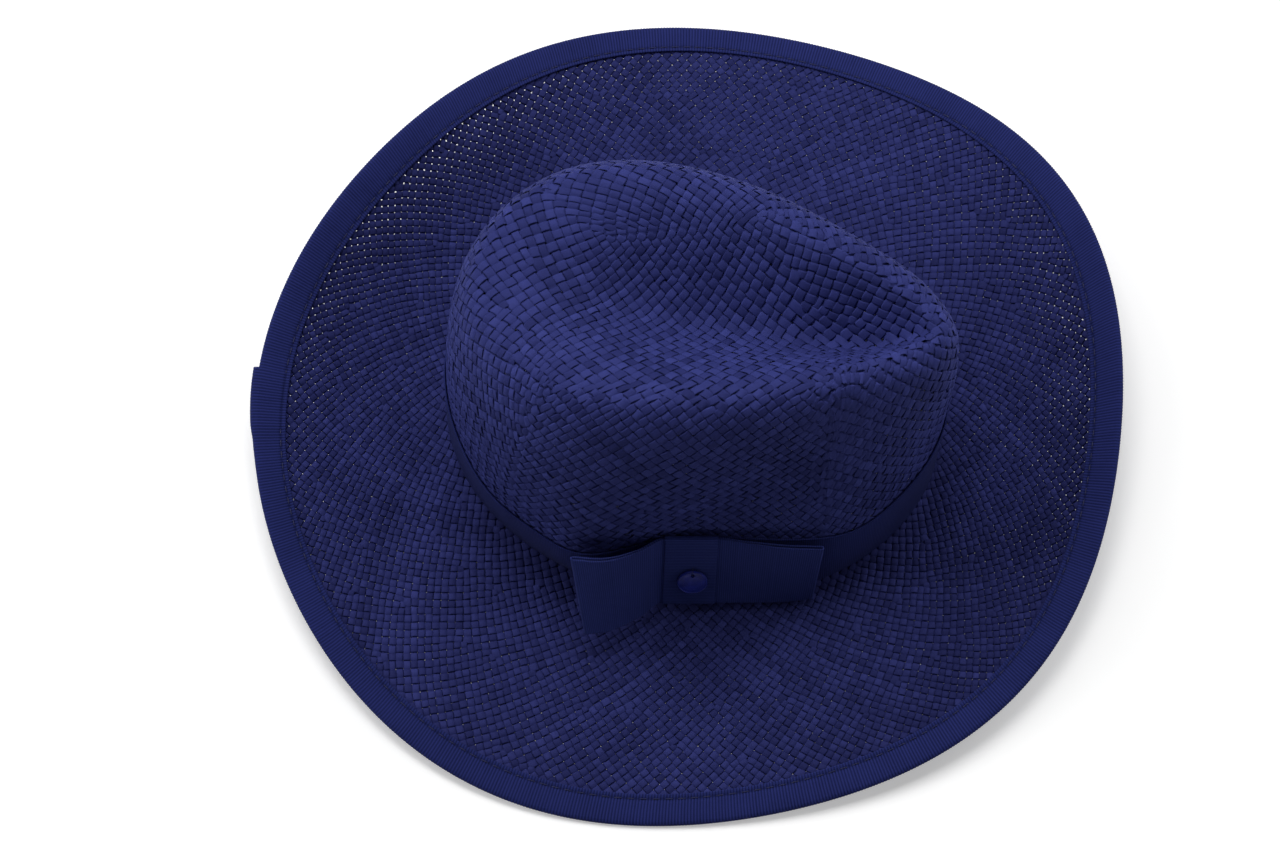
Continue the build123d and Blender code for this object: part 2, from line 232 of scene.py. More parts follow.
    def brim(self, angle: np.ndarray, share: np.ndarray) -> np.ndarray:
        """Brim: a straight line in plan, curled by share ** brim_curl, past a small rounding.

        Args:
            angle: angles round the hat.
            share: 0 at the crown, 1 at the edge.

        Returns:
            Points.
        """
        base, edge = self.base_plan(angle), self.edge_plan(angle)
        run = np.linalg.norm(edge - base, axis=-1)
        rounding = self.break_radius * np.exp(-share * run / (0.6 * self.break_radius))
        curl = np.maximum(share, 0) ** self.brim_curl
        height = self.waves(self.edge_height, self.edge_height_waves, angle) * curl + rounding
        return np.concatenate([base + (edge - base) * share[..., None], height[..., None]], -1)

    def point(self, angle: np.ndarray, station: np.ndarray) -> np.ndarray:
        """Point of the outer face.

        Args:
            angle: angles round the hat, from the front towards the wearer's left.
            station: stations down the hat, of the same shape.

        Returns:
            Points, with one axis more than the inputs.
        """
        angle, station = np.broadcast_arrays(angle, station)
        top = self.top(angle, np.clip(station, 0, Station.RIDGE))
        wall = self.wall(angle, np.clip(Station.BREAK - station, 0, 1))
        brim = self.brim(angle, np.maximum(station - Station.BREAK, 0))
        upper = np.where((station < Station.RIDGE)[..., None], top, wall)
        return np.where((station < Station.BREAK)[..., None], upper, brim)

    def directions(self, angle: np.ndarray, station: np.ndarray) -> tuple[np.ndarray, np.ndarray]:
        """Unit vectors away from the crown's middle and out of the straw, by differences.

        Args:
            angle: angles round the hat.
            station: stations down the hat.

        Returns:
            Both unit vectors at each place.
        """
        step = 1e-3
        low = np.maximum(station - step, 2e-3)
        down = self.point(angle, low + 2 * step) - self.point(angle, low)
        side = self.point(angle + step, station) - self.point(angle - step, station)
        normal = unit(np.cross(down, side))
        return unit(np.cross(side, normal)), normal

    def skin(self, angle: np.ndarray, station: np.ndarray, offset: np.ndarray | float) -> np.ndarray:
        """Points at a distance over the outer face."""
        angle, station, offset = np.broadcast_arrays(angle, station, offset)
        return self.point(angle, station) + self.directions(angle, station)[1] * offset[..., None]

    def wall_station(self, height: np.ndarray | float) -> np.ndarray:
        """Station of the crown wall at a height."""
        rise = (np.asarray(height) - self.break_radius) / (self.crown_height - self.break_radius)
        return Station.BREAK - np.arcsin(rise ** (self.shoulder_power / 2)) * 2 / math.pi

    def station_at_plan(self, plan: np.ndarray) -> tuple[np.ndarray, np.ndarray]:
        """Angle and station over each plan point of the crown's top, by Newton steps.

        Args:
            plan: level positions, in an array of N rows of 2.

        Returns:
            The angles and the stations.
        """
        def drawn(polar: np.ndarray) -> np.ndarray:
            """Plan of the points at a station and angle given as a level vector."""
            angle = np.arctan2(polar[:, 1], polar[:, 0])
            return self.point(angle, np.hypot(polar[:, 0], polar[:, 1]))[:, :2]

        polar = (plan - [self.ridge_offset, 0]) / [self.ridge_length / 2, self.ridge_width / 2]
        polar += 1e-5
        step = 1e-4
        for _ in range(30):
            here = drawn(polar)
            east = (drawn(polar + [step, 0]) - here) / step
            north = (drawn(polar + [0, step]) - here) / step
            miss = plan - here
            area = east[:, 0] * north[:, 1] - east[:, 1] * north[:, 0]
            area = np.where(np.abs(area) < 1e-6, 1e-6, area)
            move = np.stack([miss[:, 0] * north[:, 1] - miss[:, 1] * north[:, 0],
                             east[:, 0] * miss[:, 1] - east[:, 1] * miss[:, 0]], -1) / area[:, None]
            polar = polar + np.clip(move, -0.08, 0.08)
        return np.arctan2(polar[:, 1], polar[:, 0]), np.hypot(polar[:, 0], polar[:, 1])


class Meridians:
    """Stations by even distance down the hat: 0 to 1 is the crown, 1 to 2 the brim."""

    def __init__(self, form: HatForm, turns: int = 360, steps: int = 240) -> None:
        """Measure the lines down the hat.

        Args:
            form: the hat's outer face.
            turns: number of angles in the table.
            steps: number of even steps down each of the crown and the brim.
        """
        self.turns, self.steps = turns, steps
        self.even = np.linspace(0, 2, 2 * steps + 1)
        angles = np.arange(turns) * TURN / turns
        self.table = np.empty((turns, 2 * steps + 1))
        for first, low, high in ((0, 0.0, 2.0), (steps, 2.0, 3.0)):
            fine = np.linspace(low, high, 1200)
            points = form.point(angles[:, None], np.minimum(fine, 2.9999)[None, :])
            lengths = np.linalg.norm(np.diff(points, axis=1), axis=-1)
            run = np.concatenate([np.zeros((turns, 1)), np.cumsum(lengths, 1)], 1)
            run /= run[:, -1:]
            even = np.linspace(0, 1, steps + 1)
            for row in range(turns):
                self.table[row, first:first + steps + 1] = np.interp(even, run[row], fine)

    def station(self, angle: np.ndarray, fraction: np.ndarray) -> np.ndarray:
        """Station at a fraction of the way, bilinear in the table.

        Args:
            angle: angles round the hat.
            fraction: fractions of the way down.

        Returns:
            Stations.
        """
        row = (angle / TURN % 1) * self.turns
        column = np.clip(fraction, 0, 1.9999) * self.steps
        i, j = row.astype(int) % self.turns, column.astype(int)
        u, v = row % 1, column - j
        below = (i + 1) % self.turns
        near = self.table[i, j] * (1 - v) + self.table[i, j + 1] * v
        far = self.table[below, j] * (1 - v) + self.table[below, j + 1] * v
        return near * (1 - u) + far * u

    def fraction(self, angle: np.ndarray, station: np.ndarray) -> np.ndarray:
        """Fraction of the way at a station, from the nearest line of the table."""
        rows = np.round(angle / TURN * self.turns).astype(int) % self.turns
        return np.array([np.interp(s, self.table[i], self.even) for i, s in zip(rows, station)])


# ---- Mesh making ----


@dataclass
class Skin:
    """A mesh under construction: corners, four-cornered faces, and values by face corner."""

    points: np.ndarray
    quads: np.ndarray
    uv: np.ndarray
    tone: np.ndarray | None = None

    def outward(self) -> "Skin":
        """The same skin with its faces turned outwards, by the sign of the volume inside.

        Returns:
            This skin.
        """
        a, b, c, d = (self.points[self.quads[:, k]] for k in range(4))
        volume = (np.cross(a, b) * c).sum() + (np.cross(a, c) * d).sum()
        if volume < 0:
            self.quads, self.uv = self.quads[:, ::-1], self.uv[:, ::-1]
        return self

    def join(self, other: "Skin") -> "Skin":
        """Both skins as one, where neither has a tone."""
        quads = np.concatenate([self.quads, other.quads + len(self.points)])
        return Skin(np.concatenate([self.points, other.points]), quads,
                    np.concatenate([self.uv, other.uv]))


class Workshop:
    """Makes the finished pieces and attaches them to their bodies."""

    @staticmethod
    def refinish(node: str, material: bpy.types.Material) -> None:
        """Give a CAD piece a new material.

        Args:
            node: the piece's node.
            material: its new material.
        """
        materials = frame["nodes"][node].data.materials
        materials.clear()
        materials.append(material)

    @staticmethod
    def piece(name: str, skin: Skin, material: bpy.types.Material, body: str, slot: str,
              replaces: tuple[str, ...] = ()) -> None:
        """Turn a skin into a piece of the object.

        Args:
            name: the piece's name.
            skin: its mesh.
            material: its finish.
            body: the CAD body that it rides on.
            slot: the record's material slot; not used.
            replaces: CAD nodes that it stands for.
        """
        mesh = bpy.data.meshes.new(name)
        count = len(skin.quads)
        mesh.vertices.add(len(skin.points))
        mesh.vertices.foreach_set("co", skin.points.astype(np.float32).ravel())
        mesh.loops.add(4 * count)
        mesh.loops.foreach_set("vertex_index", skin.quads.astype(np.int32).ravel())
        mesh.polygons.add(count)
        mesh.polygons.foreach_set("loop_start", np.arange(0, 4 * count, 4, dtype=np.int32))
        mesh.update(calc_edges=True)
        mesh.polygons.foreach_set("use_smooth", np.full(count, True))
        layer = mesh.uv_layers.new(name="lay")
        layer.data.foreach_set("uv", skin.uv.astype(np.float32).ravel())
        if skin.tone is not None:
            tone = mesh.attributes.new("tone", "FLOAT", "CORNER")
            tone.data.foreach_set("value", skin.tone.astype(np.float32).ravel())
        mesh.validate()
        mesh.materials.append(material)
        made = bpy.data.objects.new(name, mesh)
        bpy.context.scene.collection.objects.link(made)
        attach(made, body)
        if replaces:
            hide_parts(*replaces)
        log.info("%s: %d faces", name, count)


def tubes(sections: np.ndarray, closed: bool = False, across: np.ndarray | None = None,
          rows_per_rib: int = 1) -> Skin:
    """Faces of tubes that follow closed outlines, with lids where a tube isn't closed.

    Args:
        sections: points in an array of tubes by rows by outline by 3, with an even outline.
        closed: whether each tube's last row joins its first.
        across: place of each outline point across the ribbon, for the UV.
        rows_per_rib: number of rows to one rib, for the UV.

    Returns:
        The skin, whose UV is the rib's number and the place across.
    """
    count, rows, size = sections.shape[:3]
    across = np.arange(size) * 1.0 if across is None else across
    tube = np.arange(count)[:, None, None] * rows * size
    i = np.arange(rows if closed else rows - 1)[None, :, None]
    j = np.arange(size)[None, None, :]
    after, beside = (i + 1) % rows, (j + 1) % size
    quads = np.stack([tube + i * size + j, tube + i * size + beside,
                      tube + after * size + beside, tube + after * size + j], -1)
    shape = quads.shape[:-1]
    here, there = (np.broadcast_to(rib / rows_per_rib, shape) for rib in (i, i + 1))
    near, far = (np.broadcast_to(across[k], shape) for k in (j, beside))
    uv = np.stack([np.stack([here, here, there, there], -1), np.stack([near, far, far, near], -1)], -1)
    quads, uv = quads.reshape(-1, 4), uv.reshape(-1, 4, 2)
    if not closed:
        lid = lid_quads(size)
        for row, ladder in ((0, lid[:, ::-1]), (rows - 1, lid)):
            ends = (tube[:, :, 0, None] + row * size + ladder).reshape(-1, 4)
            place = np.stack([np.full(ladder.shape, row / rows_per_rib), across[ladder]], -1)
            quads = np.concatenate([quads, ends])
            uv = np.concatenate([uv, np.tile(place, (count, 1, 1))])
    return Skin(sections.reshape(-1, 3), quads, uv).outward()


def lid_quads(size: int) -> np.ndarray:
    """Faces that close an outline of an even number of points, laddered from end to end."""
    left = np.arange(size // 2 - 1)
    return np.stack([left, left + 1, size - 2 - left, size - 1 - left], -1)


def rods(centres: np.ndarray, side: np.ndarray, up: np.ndarray, radius: np.ndarray | float,
         closed: bool = False, corners: int = 6) -> Skin:
    """Round rods about centre lines: centre + radius * (side * cosine + up * sine).

    Args:
        centres: an array of rods by rows by 3.
        side: unit vectors to one side, like centres.
        up: unit vectors square to them, like centres.
        radius: radius of each row.
        closed: whether each rod's end joins its start.
        corners: number of points round a rod.

    Returns:
        The skin.
    """
    turn = np.arange(corners) * TURN / corners
    thick = np.broadcast_to(radius, centres.shape[:2])[..., None, None]
    rim = (side[:, :, None] * np.cos(turn)[:, None] + up[:, :, None] * np.sin(turn)[:, None])
    return tubes(centres[:, :, None] + rim * thick, closed)


# ---- Shader making ----


class Wire:
    """A socket's value, on which arithmetic adds Math nodes."""

    def __init__(self, bench: "Bench", socket: bpy.types.NodeSocket) -> None:
        """Hold a socket of a bench's material."""
        self.bench, self.socket = bench, socket

    def _sum(self, operation: str, *values: "Wire | float") -> "Wire":
        """One Math node on some values."""
        return self.bench.add("ShaderNodeMath", {"operation": operation}, dict(enumerate(values)))

    def __add__(self, other: "Wire | float") -> "Wire":
        """self + other."""
        return self._sum("ADD", self, other)

    def __sub__(self, other: "Wire | float") -> "Wire":
        """self - other."""
        return self._sum("SUBTRACT", self, other)

    def __mul__(self, other: "Wire | float") -> "Wire":
        """self * other."""
        return self._sum("MULTIPLY", self, other)

    def __pow__(self, other: "Wire | float") -> "Wire":
        """self ** other."""
        return self._sum("POWER", self, other)

    __radd__ = __add__

    def wave(self) -> "Wire":
        """Sine of the value."""
        return self._sum("SINE", self)

    def power_of_e(self) -> "Wire":
        """Number e to the power of the value."""
        return self._sum("EXPONENT", self)

    def between(self, low: float, high: float) -> "Wire":
        """Share of the way from low to high, clamped."""
        return self.bench.add("ShaderNodeMapRange", {"clamp": True},
                              {"Value": self, "From Min": low, "From Max": high})


class Bench:
    """A material's nodes."""

    def __init__(self, name: str) -> None:
        """Start a material with a Principled shader.

        Args:
            name: the material's name.
        """
        self.material = bpy.data.materials.new(name)
        self.material.use_nodes = True
        self.nodes = self.material.node_tree.nodes
        self.links = self.material.node_tree.links
        self.shader = self.nodes["Principled BSDF"]

    def set(self, socket: bpy.types.NodeSocket, value: object) -> None:
        """Link a wire to a socket, or set the socket to a constant.

        Args:
            socket: the socket.
            value: a wire or a constant.
        """
        if isinstance(value, Wire):
            self.links.new(value.socket, socket)
        else:
            socket.default_value = value

    def add(self, kind: str, settings: dict, inputs: dict, output: int | str = 0) -> Wire:
        """Add a node.

        Args:
            kind: the node's type.
            settings: its properties, which are set first.
            inputs: values or wires by the socket's name or number.
            output: the output to hand back.

        Returns:
            The output as a wire.
        """
        node = self.nodes.new(kind)
        for name, value in settings.items():
            setattr(node, name, value)
        for name, value in inputs.items():
            self.set(node.inputs[name], value)
        return Wire(self, node.outputs[output])

    def place(self) -> Wire:
        """Object coordinates."""
        return self.add("ShaderNodeTexCoord", {}, {}, "Object")

    def lay(self) -> tuple[Wire, Wire]:
        """The piece's own UV as two numbers."""
        uv = self.add("ShaderNodeUVMap", {"uv_map": "lay"}, {})
        return tuple(self.add("ShaderNodeSeparateXYZ", {}, {0: uv}, axis) for axis in (0, 1))

    def grid(self, x: Wire | float, y: Wire | float, z: Wire | float = 0.0) -> Wire:
        """A vector of three numbers."""
        return self.add("ShaderNodeCombineXYZ", {}, {0: x, 1: y, 2: z})

    def noise(self, where: Wire, scale: float, detail: float = 2.0) -> Wire:
        """Soft noise from 0 to 1."""
        inputs = {"Vector": where, "Scale": scale, "Detail": detail}
        return self.add("ShaderNodeTexNoise", {}, inputs)

    def tone(self) -> Wire:
        """The piece's own tone: random, and on the straw also lowered by painted shade on the outer brim.
        """
        return self.add("ShaderNodeAttribute", {"attribute_name": "tone"}, {}, "Fac")

    def mix(self, share: Wire | float, first: tuple, second: tuple | Wire) -> Wire:
        """Blend of two colours."""
        return self.add("ShaderNodeMix", {"data_type": "RGBA"},
                        {"Factor": share, 6: first, 7: second}, 2)

    def bump(self, height: Wire, distance: float, strength: float = 1.0) -> None:
        """Raise the surface by a height, and feed the shader's normal."""
        inputs = {"Height": height, "Distance": distance, "Strength": strength}
        self.set(self.shader.inputs["Normal"], self.add("ShaderNodeBump", {}, inputs))

    def finish(self, **values: object) -> bpy.types.Material:
        """Set the shader's sockets by name, where an underscore stands for a space.

        Args:
            values: wires or constants.

        Returns:
            The material.
        """
        for name, value in values.items():
            self.set(self.shader.inputs[name.replace("_", " ")], value)
        return self.material


def rgba(red: float, green: float, blue: float) -> tuple[float, float, float, float]:
    """An opaque colour."""
    return red, green, blue, 1.0


@dataclass(frozen=True)
class StrawFinish:
    """Indigo paper straw: strips that differ in tone, with fine fibres along them."""

    name: str
    deep: tuple = rgba(0.0162, 0.0202, 0.100)
    pale: tuple = rgba(0.0450, 0.0555, 0.240)
    roughness: float = 0.68
    fibres: float = 14.0

    def material(self) -> bpy.types.Material:
        """Tone by strip and by fibre, darker in patches, with fibre bump; the strip tone carries painted
        shade on the outer brim.

        Returns:
            The material.
        """
        bench = Bench(self.name)
        along, across = bench.lay()
        place = bench.place()
        fibre = bench.noise(bench.grid(along * 1.3, across * self.fibres, bench.tone() * 37.0),
                            1.0, 3.0)
        crease = bench.noise(bench.grid(along * 4.0, across * 2.0, bench.tone() * 11.0), 1.0, 2.0)
        patch = bench.noise(place, 26.0, 2.0)
        share = bench.tone() * 0.7 + fibre * 0.35 + crease * 0.2 + (patch - 0.5) * 0.4 - 0.12
        colour = bench.mix(share.between(0.0, 1.0), self.deep, self.pale)
        bench.bump(fibre * 0.5 + crease, 0.12 * MM, 0.8)
        rough = self.roughness + (fibre - 0.5) * 0.25
        return bench.finish(Base_Color=colour, Roughness=rough, Specular_IOR_Level=0.06)


# ---- Weave ----


class Zone(Enum):
    """The two parts of the hat that the rings of the weave run through."""

    CROWN = "crown"
    BRIM = "brim"


@dataclass(frozen=True)
class Ring:
    """One ring of crossings: its first number, its size, and its share of the way through a zone."""

    first: int
    size: int
    zone: Zone
    mark: float


@dataclass
class Crossings:
    """Where the strips cross.

    points and normals give each place. mates[c, s, e] is the next crossing along strip s of
    crossing c towards end e, or -1. over is the strip on top. ring counts outwards, with 0 for
    the patch in the middle of the crown, and fraction is the way down the hat.
    """

    points: np.ndarray
    normals: np.ndarray
    mates: np.ndarray
    over: np.ndarray
    ring: np.ndarray
    fraction: np.ndarray
    angle: np.ndarray


@dataclass
class Patch:
    """Square start of the weave on the crown.

    Its crossings from number border onwards are on its border, by turn, and start is their
    fraction of the way down the hat.
    """

    grid: np.ndarray
    angle: np.ndarray
    station: np.ndarray
    start: np.ndarray
    border: int
    half_length: int

    def __post_init__(self) -> None:
        """Tie the strips inside the patch: strip 0 runs up to the right, strip 1 down to it."""
        numbers = {tuple(point): number for number, point in enumerate(self.grid)}
        steps = np.array([[(-1, -1), (1, 1)], [(-1, 1), (1, -1)]])
        self.mates = np.array([[[numbers.get(tuple(place + steps[strip, end]), -1) for end in (0, 1)]
                                for strip in (0, 1)] for place in self.grid])
        self.over = np.where(self.grid[:, 0] % 2 == 0, 0, 1)

    def tie(self, parent: np.ndarray, child: np.ndarray, after: bool) -> None:
        """Tie border crossings to the first ring, on the strip that leads there.

        Args:
            parent: numbers of the border crossings.
            child: numbers of the crossings in the ring.
            after: whether each child comes after its parent round the hat, or before it.
        """
        x, y = self.grid[parent].T
        on_end = np.abs(x) == self.half_length
        sign = np.where(on_end, np.sign(x), np.sign(y))
        tangent = np.stack([np.where(on_end, 0, -sign), np.where(on_end, sign, 0)], -1)
        outward = np.stack([np.where(on_end, sign, 0), np.where(on_end, 0, sign)], -1)
        step = outward + (tangent if after else -tangent)
        strip = np.where(step[:, 0] == step[:, 1], 0, 1)
        self.mates[parent, strip, np.where(step[:, 0] > 0, 1, 0)] = child


@dataclass
class WeavePlan:
    """Lays out the plain weave: a square patch on the crown, then ring after ring.

    The patch has the strips at 45 degrees to the hat's length. Each ring's crossings sit between
    those of the ring inside it, and new strips start wherever the hat grows wider.
    """

    form: HatForm
    meridians: Meridians
    half_length: int = 16
    half_width: int = 14
    corners: tuple = ((56.0, -31.0), (21.0, 36.0), (-40.0, 22.0), (-50.0, -47.0))
    crown_pitch: float = 4.0 * MM
    brim_pitch: float = 3.05 * MM
    edge_pitch: float = 2.95 * MM
    crown_reach: float = 140.0 * MM
    brim_reach: float = 88.0 * MM
    band_top: float = 0.74
    last: float = 1.965
    shake: float = 0.035
    even_passes: int = 4
    even_share: float = 0.25
    relax_passes: int = 120
    relax_even: float = 0.22
    relax_pull: float = 0.3
    seed: int = 11
    rings: list = field(default_factory=list)
    border: tuple = ()

    def pitch(self, fraction: np.ndarray | float) -> np.ndarray:
        """Strip width: wide on the crown, narrower from under the hatband to the edge."""
        sizes = [self.crown_pitch, self.crown_pitch, self.brim_pitch, self.edge_pitch]
        return np.interp(fraction, [0, self.band_top, 1, 2], sizes)

    def lay_out(self) -> Crossings:
        """Place every crossing and tie the strips through them.

        Returns:
            The crossings, from the patch outwards.
        """
        rng = np.random.default_rng(self.seed)
        patch = self._patch()
        ring_angle = np.unwrap(patch.angle[patch.border:])
        self.border = ring_angle, patch.start
        angles, overs, mates = [patch.angle], [patch.over], [patch.mates]
        ring_no = [np.zeros(len(patch.angle), int)]
        base, total = patch.border, len(patch.angle)
        for number, (zone, mark) in enumerate(self._ring_marks(), start=1):
            count = len(ring_angle)
            ring_angle, heirs = self._next_ring(ring_angle, zone, mark, rng)
            child = total + heirs
            low = base + np.arange(count)
            high = base + np.roll(np.arange(count), -1)
            # strip 0 comes from the crossing before it, strip 1 from the one after it
            fresh = np.full((len(ring_angle), 2, 2), -1)
            fresh[heirs, 0, 0], fresh[heirs, 1, 0] = low, high
            if number == 1:
                patch.tie(low, child, True)
                patch.tie(high, child, False)
            else:
                mates[-1][low - base, 0, 1] = child
                mates[-1][high - base, 1, 1] = child
            mates.append(fresh)
            angles.append(ring_angle)
            overs.append(np.full(len(ring_angle), number % 2))
            ring_no.append(np.full(len(ring_angle), number))
            base, total = total, total + len(ring_angle)
            self.rings.append(Ring(base, len(ring_angle), zone, mark))
        return self._placed(patch, np.concatenate(angles), np.concatenate(mates),
                            np.concatenate(overs), np.concatenate(ring_no), rng)

    def _placed(self, patch: Patch, angle: np.ndarray, mates: np.ndarray, over: np.ndarray,
                ring_no: np.ndarray, rng: np.random.Generator) -> Crossings:
        """Even the crossings out, set them in the straw and shake them a little along it.

        Args:
            patch: the start of the weave.
            angle: angle of each crossing.
            mates: the next crossings, as in Crossings.
            over: the strip on top.
            ring_no: number of each crossing's ring.
            rng: random numbers.

        Returns:
            The finished crossings.
        """
        angle = self._relaxed(angle, mates)
        fraction = self._fractions(angle)
        fraction[patch.border:len(patch.angle)] = patch.start
        outside = slice(len(patch.angle), None)
        station = np.concatenate([patch.station,
                                  self.meridians.station(angle[outside], fraction[outside])])
        jitter = rng.normal(0, 1, (len(angle), 3)) * (self.pitch(fraction) * self.shake)[:, None]
        points = self.form.skin(angle, station, -self.form.straw / 2)
        normals = self.form.directions(angle, station)[1]
        jitter -= normals * (jitter * normals).sum(-1, keepdims=True)
        return Crossings(points + jitter, normals, mates, over, ring_no, fraction, angle)

    def _patch(self) -> Patch:
        """Crossings of the patch: every other point of a grid, bilinear between its corners.

        Returns:
            The patch, with its inner crossings first.
        """
        length, width = self.half_length, self.half_width
        grid = np.array([(x, y) for x in range(-length, length + 1)
                         for y in range(-width, width + 1) if (x + y) % 2 == 0])
        x, y = grid.T
        u, v = (x / length + 1) / 2, (y / width + 1) / 2
        front_low, front_high, back_high, back_low = (MM * np.array(c) for c in self.corners)
        low = back_low + (front_low - back_low) * u[:, None]
        high = back_high + (front_high - back_high) * u[:, None]
        plan = low + (high - low) * v[:, None]
        angle, station = self.form.station_at_plan(plan)
        on_border = (np.abs(x) == length) | (np.abs(y) == width)
        turn = np.arctan2(*(plan - [self.form.ridge_offset, 0]).T[::-1])
        inner, outer = np.flatnonzero(~on_border), np.flatnonzero(on_border)
        order = np.concatenate([inner, outer[np.argsort(turn[outer])]])
        angle, station, first = angle[order], station[order], len(inner)
        start = self.meridians.fraction(angle[first:], station[first:])
        return Patch(grid[order], angle, station, start, first, length)

    def _ring_marks(self) -> list[tuple[Zone, float]]:
        """All rings outside the patch, each a strip's half diagonal after the one before it.

        Returns:
            Each ring's zone and share of the way through it.
        """
        marks, way = [], 0.0
        while way < self.crown_reach:
            way += self.pitch(0.3 + 0.7 * (way / self.crown_reach)) / math.sqrt(2)
            marks.append(way)
        rings = [(Zone.CROWN, float(mark)) for mark in np.array(marks) / marks[-1]]
        way = 0.0
        while way / self.brim_reach < self.last - 1:
            way += self.pitch(1 + way / self.brim_reach) / math.sqrt(2)
            rings.append((Zone.BRIM, min(way / self.brim_reach, self.last - 1)))
        return rings

    def _next_ring(self, ring_angle: np.ndarray, zone: Zone, mark: float,
                   rng: np.random.Generator) -> tuple[np.ndarray, np.ndarray]:
        """Crossings between those of the ring inside, and new ones in the widest gaps.

        Args:
            ring_angle: angles of the ring inside.
            zone: the ring's zone.
            mark: its share of the way through the zone.
            rng: random numbers.

        Returns:
            The new ring's angles, and which of them follow from the ring inside.
        """
        count = len(ring_angle)
        middle = (ring_angle + np.append(ring_angle[1:], ring_angle[0] + TURN)) / 2
        level = self._fraction(middle, zone, mark)
        here = self._points(middle, level)
        gaps = np.linalg.norm(np.roll(here, -1, 0) - here, axis=1)
        room = gaps.sum() / (math.sqrt(2) * self.pitch(level.mean()))
        extra = max(0, int(round(room)) - count)
        chosen: list[int] = []
        for j in np.argsort(-gaps * rng.uniform(0.9, 1.1, count)):
            if len(chosen) == extra:
                break
            if all(min(abs(j - k), count - abs(j - k)) > 2 for k in chosen):
                chosen.append(int(j))
        beside = np.append(middle[1:], middle[0] + TURN)
        chosen.sort()
        added = ((middle + beside) / 2)[chosen]
        source = np.concatenate([np.arange(count), np.array(chosen, int) + 0.5])
        rank = np.argsort(source, kind="stable")
        angle = np.concatenate([middle, added])[rank]
        for _ in range(self.even_passes):
            angle = self._evened(angle, zone, mark)
        return angle, np.flatnonzero(source[rank] % 1 == 0)

    def _fraction(self, angle: np.ndarray, zone: Zone, mark: float) -> np.ndarray:
        """Fraction of the way down the hat, for one ring's crossings.

        Args:
            angle: angles of the crossings.
            zone: the ring's zone.
            mark: its share of the way through the zone.

        Returns:
            Fractions, the same all round on the brim.
        """
        if zone is Zone.BRIM:
            return np.full(len(angle), 1 + mark)
        start = np.interp(angle, *self.border, period=TURN)
        return start + (1 - start) * mark

    def _fractions(self, angle: np.ndarray) -> np.ndarray:
        """Fraction of the way down the hat for all crossings, 0 inside the patch.

        Args:
            angle: angle of each crossing.

        Returns:
            Fractions.
        """
        fraction = np.zeros(len(angle))
        for ring in self.rings:
            part = slice(ring.first, ring.first + ring.size)
            fraction[part] = self._fraction(angle[part], ring.zone, ring.mark)
        return fraction

    def _points(self, angle: np.ndarray, fraction: np.ndarray) -> np.ndarray:
        """Points of the outer face."""
        return self.form.point(angle, self.meridians.station(angle, fraction))

    def _evened(self, angle: np.ndarray, zone: Zone, mark: float) -> np.ndarray:
        """Shift each crossing towards the middle between its two neighbours in the ring.

        Args:
            angle: angles of the ring's crossings.
            zone: the ring's zone.
            mark: its share of the way through the zone.

        Returns:
            The shifted angles.
        """
        here = self._points(angle, self._fraction(angle, zone, mark))
        gap = np.linalg.norm(np.roll(here, -1, 0) - here, axis=1)
        turn = np.append(angle[1:], angle[0] + TURN) - angle
        back_gap, back_turn = np.roll(gap, 1), np.roll(turn, 1)
        return angle + self.even_share * (gap - back_gap) / (gap / turn + back_gap / back_turn)

    def _relaxed(self, angle: np.ndarray, mates: np.ndarray) -> np.ndarray:
        """Even out the crossings in their rings and line them up with the strips.

        Args:
            angle: angle of each crossing.
            mates: the next crossings.

        Returns:
            The new angles.
        """
        first = self.rings[0].first
        before, after = np.arange(len(angle)), np.arange(len(angle))
        for ring in self.rings:
            part = np.arange(ring.first, ring.first + ring.size)
            before[part], after[part] = np.roll(part, 1), np.roll(part, -1)
        moving = np.arange(first, len(angle))
        links = mates[moving].reshape(len(moving), 4)
        real = links >= 0
        for _ in range(self.relax_passes):
            here = np.zeros((len(angle), 3))
            here[first:] = self._points(angle[first:], self._fractions(angle)[first:])
            gap = np.linalg.norm(here[after[moving]] - here[moving], axis=1)
            turn = wrapped(angle[after[moving]] - angle[moving])
            back_gap = np.linalg.norm(here[before[moving]] - here[moving], axis=1)
            back_turn = wrapped(angle[moving] - angle[before[moving]])
            even = (gap - back_gap) / (gap / turn + back_gap / back_turn)
            pull = np.where(real, wrapped(angle[links] - angle[moving][:, None]), 0)
            pull = pull.sum(1) / np.maximum(real.sum(1), 1)
            angle = angle.copy()
            angle[moving] += self.relax_even * even + self.relax_pull * pull
        return angle


